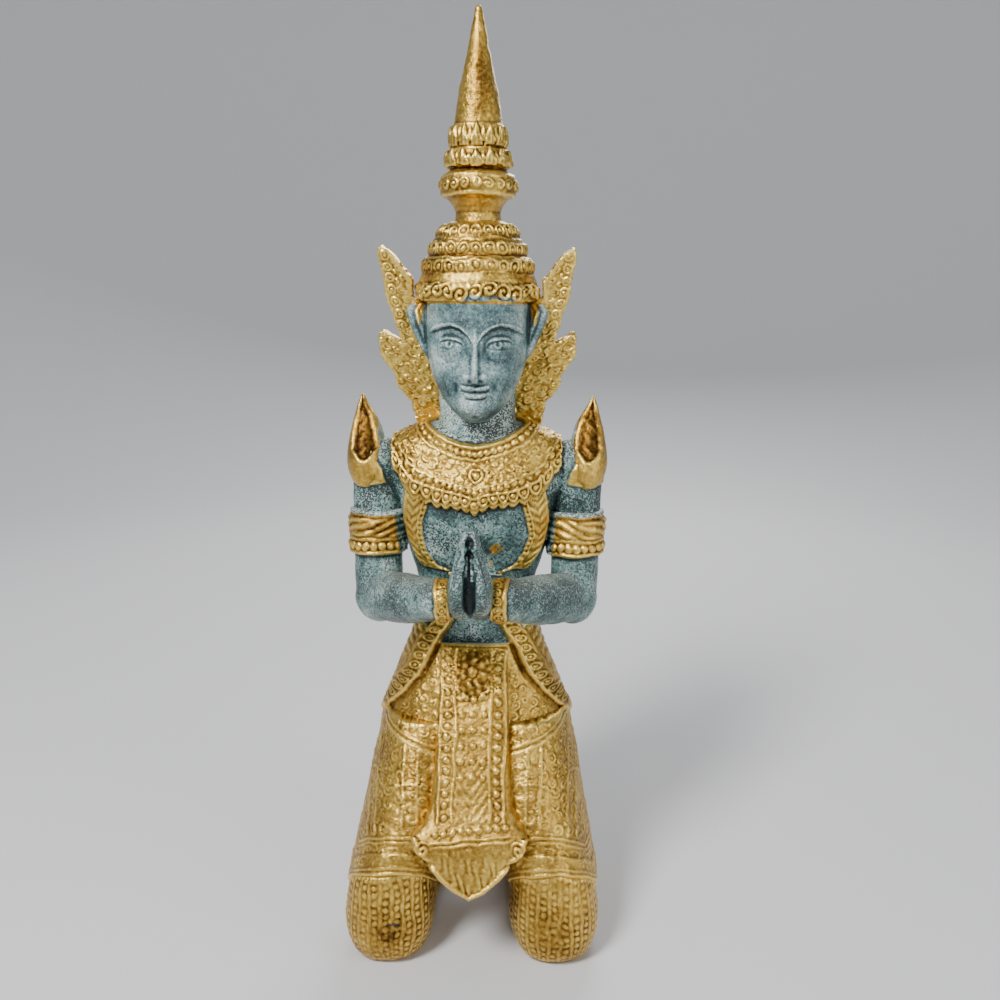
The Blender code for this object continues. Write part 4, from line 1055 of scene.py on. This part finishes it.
def turned(name, profile, steps, gap):
    """Spin a profile of (mark, radius) round the figure's axis, with points a small gap apart."""
    outline = [(profile[0][0], 0.0)] + profile + [(profile[-1][0], 0.0)]
    marks, radii = np.array(outline, float).T
    run = np.concatenate([[0], np.cumsum(np.hypot(np.diff(marks), np.diff(radii)))])
    at = np.linspace(0, run[-1], int(run[-1] / gap))
    form = bmesh.new()
    spots = place(np.interp(at, run, radii), 0.0 * at, np.interp(at, run, marks))
    line = [form.verts.new(spot) for spot in spots]
    edges = [form.edges.new(pair) for pair in zip(line, line[1:])]
    centre = place(0.0, 0.0, 0.0)
    bmesh.ops.spin(form, geom=line + edges, cent=centre, axis=(0, 0, 1), dvec=(0, 0, 0),
                   angle=2 * math.pi, steps=steps, use_merge=True)
    bmesh.ops.remove_doubles(form, verts=form.verts, dist=0.01 * MARK)
    bmesh.ops.recalc_face_normals(form, faces=form.faces)
    mesh = bpy.data.meshes.new(name)
    form.to_mesh(mesh)
    form.free()
    return mesh


def petal(across, along, wide, tall):
    """Upright flame-shaped petal, with a rib, that stands on along = 0."""
    t = np.clip(along / tall, 0, 1)
    half = wide / 2 * (1 - t**1.6)
    inside = smooth_step(0.0, 0.35, half - np.abs(across)) * (along > 0) * (along < tall)
    return inside * (0.75 + 0.25 * hump(across, 0, 0.3))


def arch(across, along, radius):
    """Raised arch, open at its foot, over a bead."""
    rim = hump(np.hypot(across, along * 0.9), radius * 0.8, radius * 0.22)
    return np.maximum(rim * smooth_step(-0.9, -0.1, along / radius), bead(across, along, radius * 0.45))


def crown_relief(x, y, mark, normal):
    """Three tiers of arches over beads, above a diadem of curls with a broken lower edge."""
    turn = np.arctan2(x, -y)
    reach = np.hypot(x, y)
    rise = np.zeros_like(x)
    for much, count, seat, radius, low, high in TIERS:
        rise += much * arch(seats(turn, reach, count), mark - seat, radius) * (mark < high) * (mark > low)
    rise += 0.3 * bead(seats(turn, reach, 26, 0.5), mark - 199.4, 0.7)
    rise += 0.25 * hump(mark, 206.0, 0.3) + 0.25 * hump(mark, 200.9, 0.25) + 0.2 * hump(mark, 196.2, 0.25)
    wave = 0.5 * np.sin(turn * 7)
    curls = 1.1 * curl(seats(turn, reach, 27), mark - 190.9 - wave, 2.5, 1)
    leaves = curls + 0.6 * bead(seats(turn, reach, 27, 0.5), mark - 192.4, 1.0)
    rise += leaves * smooth_step(194.2, 193.2, mark) * (mark > 188.2)
    ragged = mark + 0.8 * lumps(x, y, mark, 2.2, 54)
    notch = hump(turn, -0.05, 0.1) * (mark < 190.2)
    bare = hump(turn, 0.25, 0.6) * smooth_step(190.0, 189.0, ragged) + notch
    return rise - 0.2, 1 - np.minimum(bare, 1)


crown = chased(turned("crown", CROWN, 340, 0.36), crown_relief, rough=0.13, wander=0.6, worn=0.35)
set_up("crown", crown, gold_of_the_crown)

# Spire on its waisted neck: a flange of curls, two rings of flame petals and a long plain cone.
# The cone has been rubbed brown down its front.

SPIRE = [(270, 0.4), (269.2, 1.1), (264, 2.2), (258.2, 3.2), (247.5, 5.7), (238, 7.0), (237.4, 7.6),
         (234, 8.1), (231.2, 7.8), (230.7, 8.8), (228, 9.5), (225.9, 9.0), (225.3, 8.2), (224.2, 10.2),
         (223, 11.0), (220.7, 11.4), (218.4, 10.8), (217.6, 9.8), (217.1, 8.8), (215, 7.2), (213.5, 6.6),
         (212, 6.8), (209.5, 7.2)]
# Each ring of petals: rise, count, shift, mark of the feet, width, height, and the mark where it ends.
PETALS = [(0.95, 13, 0, 231.4, 3.6, 6.4, 238), (0.6, 13, 0.5, 232.4, 2.2, 4.6, 238),
          (0.95, 14, 0, 226.1, 4.0, 4.8, 230.8), (0.6, 14, 0.5, 226.6, 2.0, 3.4, 230.8)]


def spire_relief(x, y, mark, normal):
    """Flame petals in two rings over a flange of curls, under the plain cone."""
    turn = np.arctan2(x, -y)
    reach = np.hypot(x, y)
    rise = np.zeros_like(x)
    for much, count, shift, feet, wide, tall, end in PETALS:
        ring = petal(seats(turn, reach, count, shift), mark - feet, wide, tall)
        rise += much * ring * (mark < end)
    rise += 0.7 * curl(seats(turn, reach, 20), mark - 220.8, 1.75, 1) * (mark < 223) * (mark > 218.4)
    rise += 0.4 * hump(mark, 223.5, 0.3) + 0.45 * hump(mark, 218.1, 0.35) + 0.3 * hump(mark, 231.0, 0.3)
    rise = np.where(mark > 238.5, 0.0, rise)
    rubbed_and_highlit = hump(turn, 0.1, 0.5) * smooth_step(237, 241, mark) * smooth_step(266, 255, mark)
    return rise - 0.15, np.ones_like(x), 0.26 * rubbed_and_highlit


spire = chased(turned("spire", SPIRE, 180, 0.36), spire_relief, rough=0.09, wander=0.4)
set_up("spire", spire, gold_of_the_crown)

# Pale studio floor that sweeps up behind and at the sides, soft lights and the camera,
# which stands at the photograph's height and angle.

FLOOR_SIZE = 6.0
SWEEP_START = 0.7
SWEEP_RADIUS = 0.6
PALE_PAPER = (0.62, 0.62, 0.63, 1)
SOFT_DAYLIGHT = (0.80, 0.84, 0.90, 1)
LENS = 36.108
CAMERA = (0.0139, -0.29925, 0.1935)
CAMERA_DOWN = math.radians(90 - 11.3)
CAMERA_ROLL = math.radians(0.65)
CAMERA_SHIFT = -0.0226

form = bmesh.new()
bmesh.ops.create_grid(form, x_segments=120, y_segments=120, size=FLOOR_SIZE / 2)
for vertex in form.verts:
    away = vertex.co.xy.length
    beyond = away - SWEEP_START
    if beyond > 0:
        turn = min(beyond / SWEEP_RADIUS, math.pi / 2)
        upright = beyond - turn * SWEEP_RADIUS
        behind = 0.5 + 0.5 * vertex.co.y / away
        nearer = SWEEP_START + SWEEP_RADIUS * math.sin(turn)
        vertex.co.z = behind * (SWEEP_RADIUS * (1 - math.cos(turn)) + upright)
        vertex.co.xy *= 1 + behind * (nearer / away - 1)
floor_mesh = bpy.data.meshes.new("studio_floor")
form.to_mesh(floor_mesh)
form.free()
floor_mesh.shade_smooth()
studio_floor = placed("studio_floor", floor_mesh)
paper = bpy.data.materials.new("pale_paper")
paper.use_nodes = True
paper.node_tree.nodes["Principled BSDF"].inputs["Base Color"].default_value = PALE_PAPER
paper.node_tree.nodes["Principled BSDF"].inputs["Roughness"].default_value = 0.9
floor_mesh.materials.append(paper)


def soft_light(name, where, aim, size, power):
    lamp = bpy.data.lights.new(name, "AREA")
    lamp.shape = "DISK"
    lamp.size = size
    lamp.energy = power
    light = placed(name, lamp)
    light.location = where
    light.rotation_euler = (Vector(aim) - Vector(where)).to_track_quat("-Z", "Y").to_euler()


MIDDLE = (0.0, 0.0, 0.14)
soft_light("key_light", (-0.35, -0.55, 0.75), MIDDLE, 0.26, 11.5)
soft_light("fill_light", (0.7, -0.5, 0.35), MIDDLE, 0.6, 3.0)
soft_light("back_light", (0.1, 0.7, 0.6), MIDDLE, 0.5, 5.0)

world = bpy.data.worlds.new("studio")
world.use_nodes = True
world.node_tree.nodes["Background"].inputs["Color"].default_value = SOFT_DAYLIGHT
world.node_tree.nodes["Background"].inputs["Strength"].default_value = 0.32
bpy.context.scene.world = world

camera_data = bpy.data.cameras.new("camera")
camera_data.lens = LENS
camera_data.sensor_width = 36
camera_data.shift_x = CAMERA_SHIFT
camera_data.clip_start = 0.01
camera = placed("camera", camera_data)
camera.location = CAMERA
aim = Matrix.Rotation(CAMERA_DOWN, 3, "X") @ Matrix.Rotation(CAMERA_ROLL, 3, "Z")
camera.rotation_euler = aim.to_euler()
bpy.context.scene.camera = camera
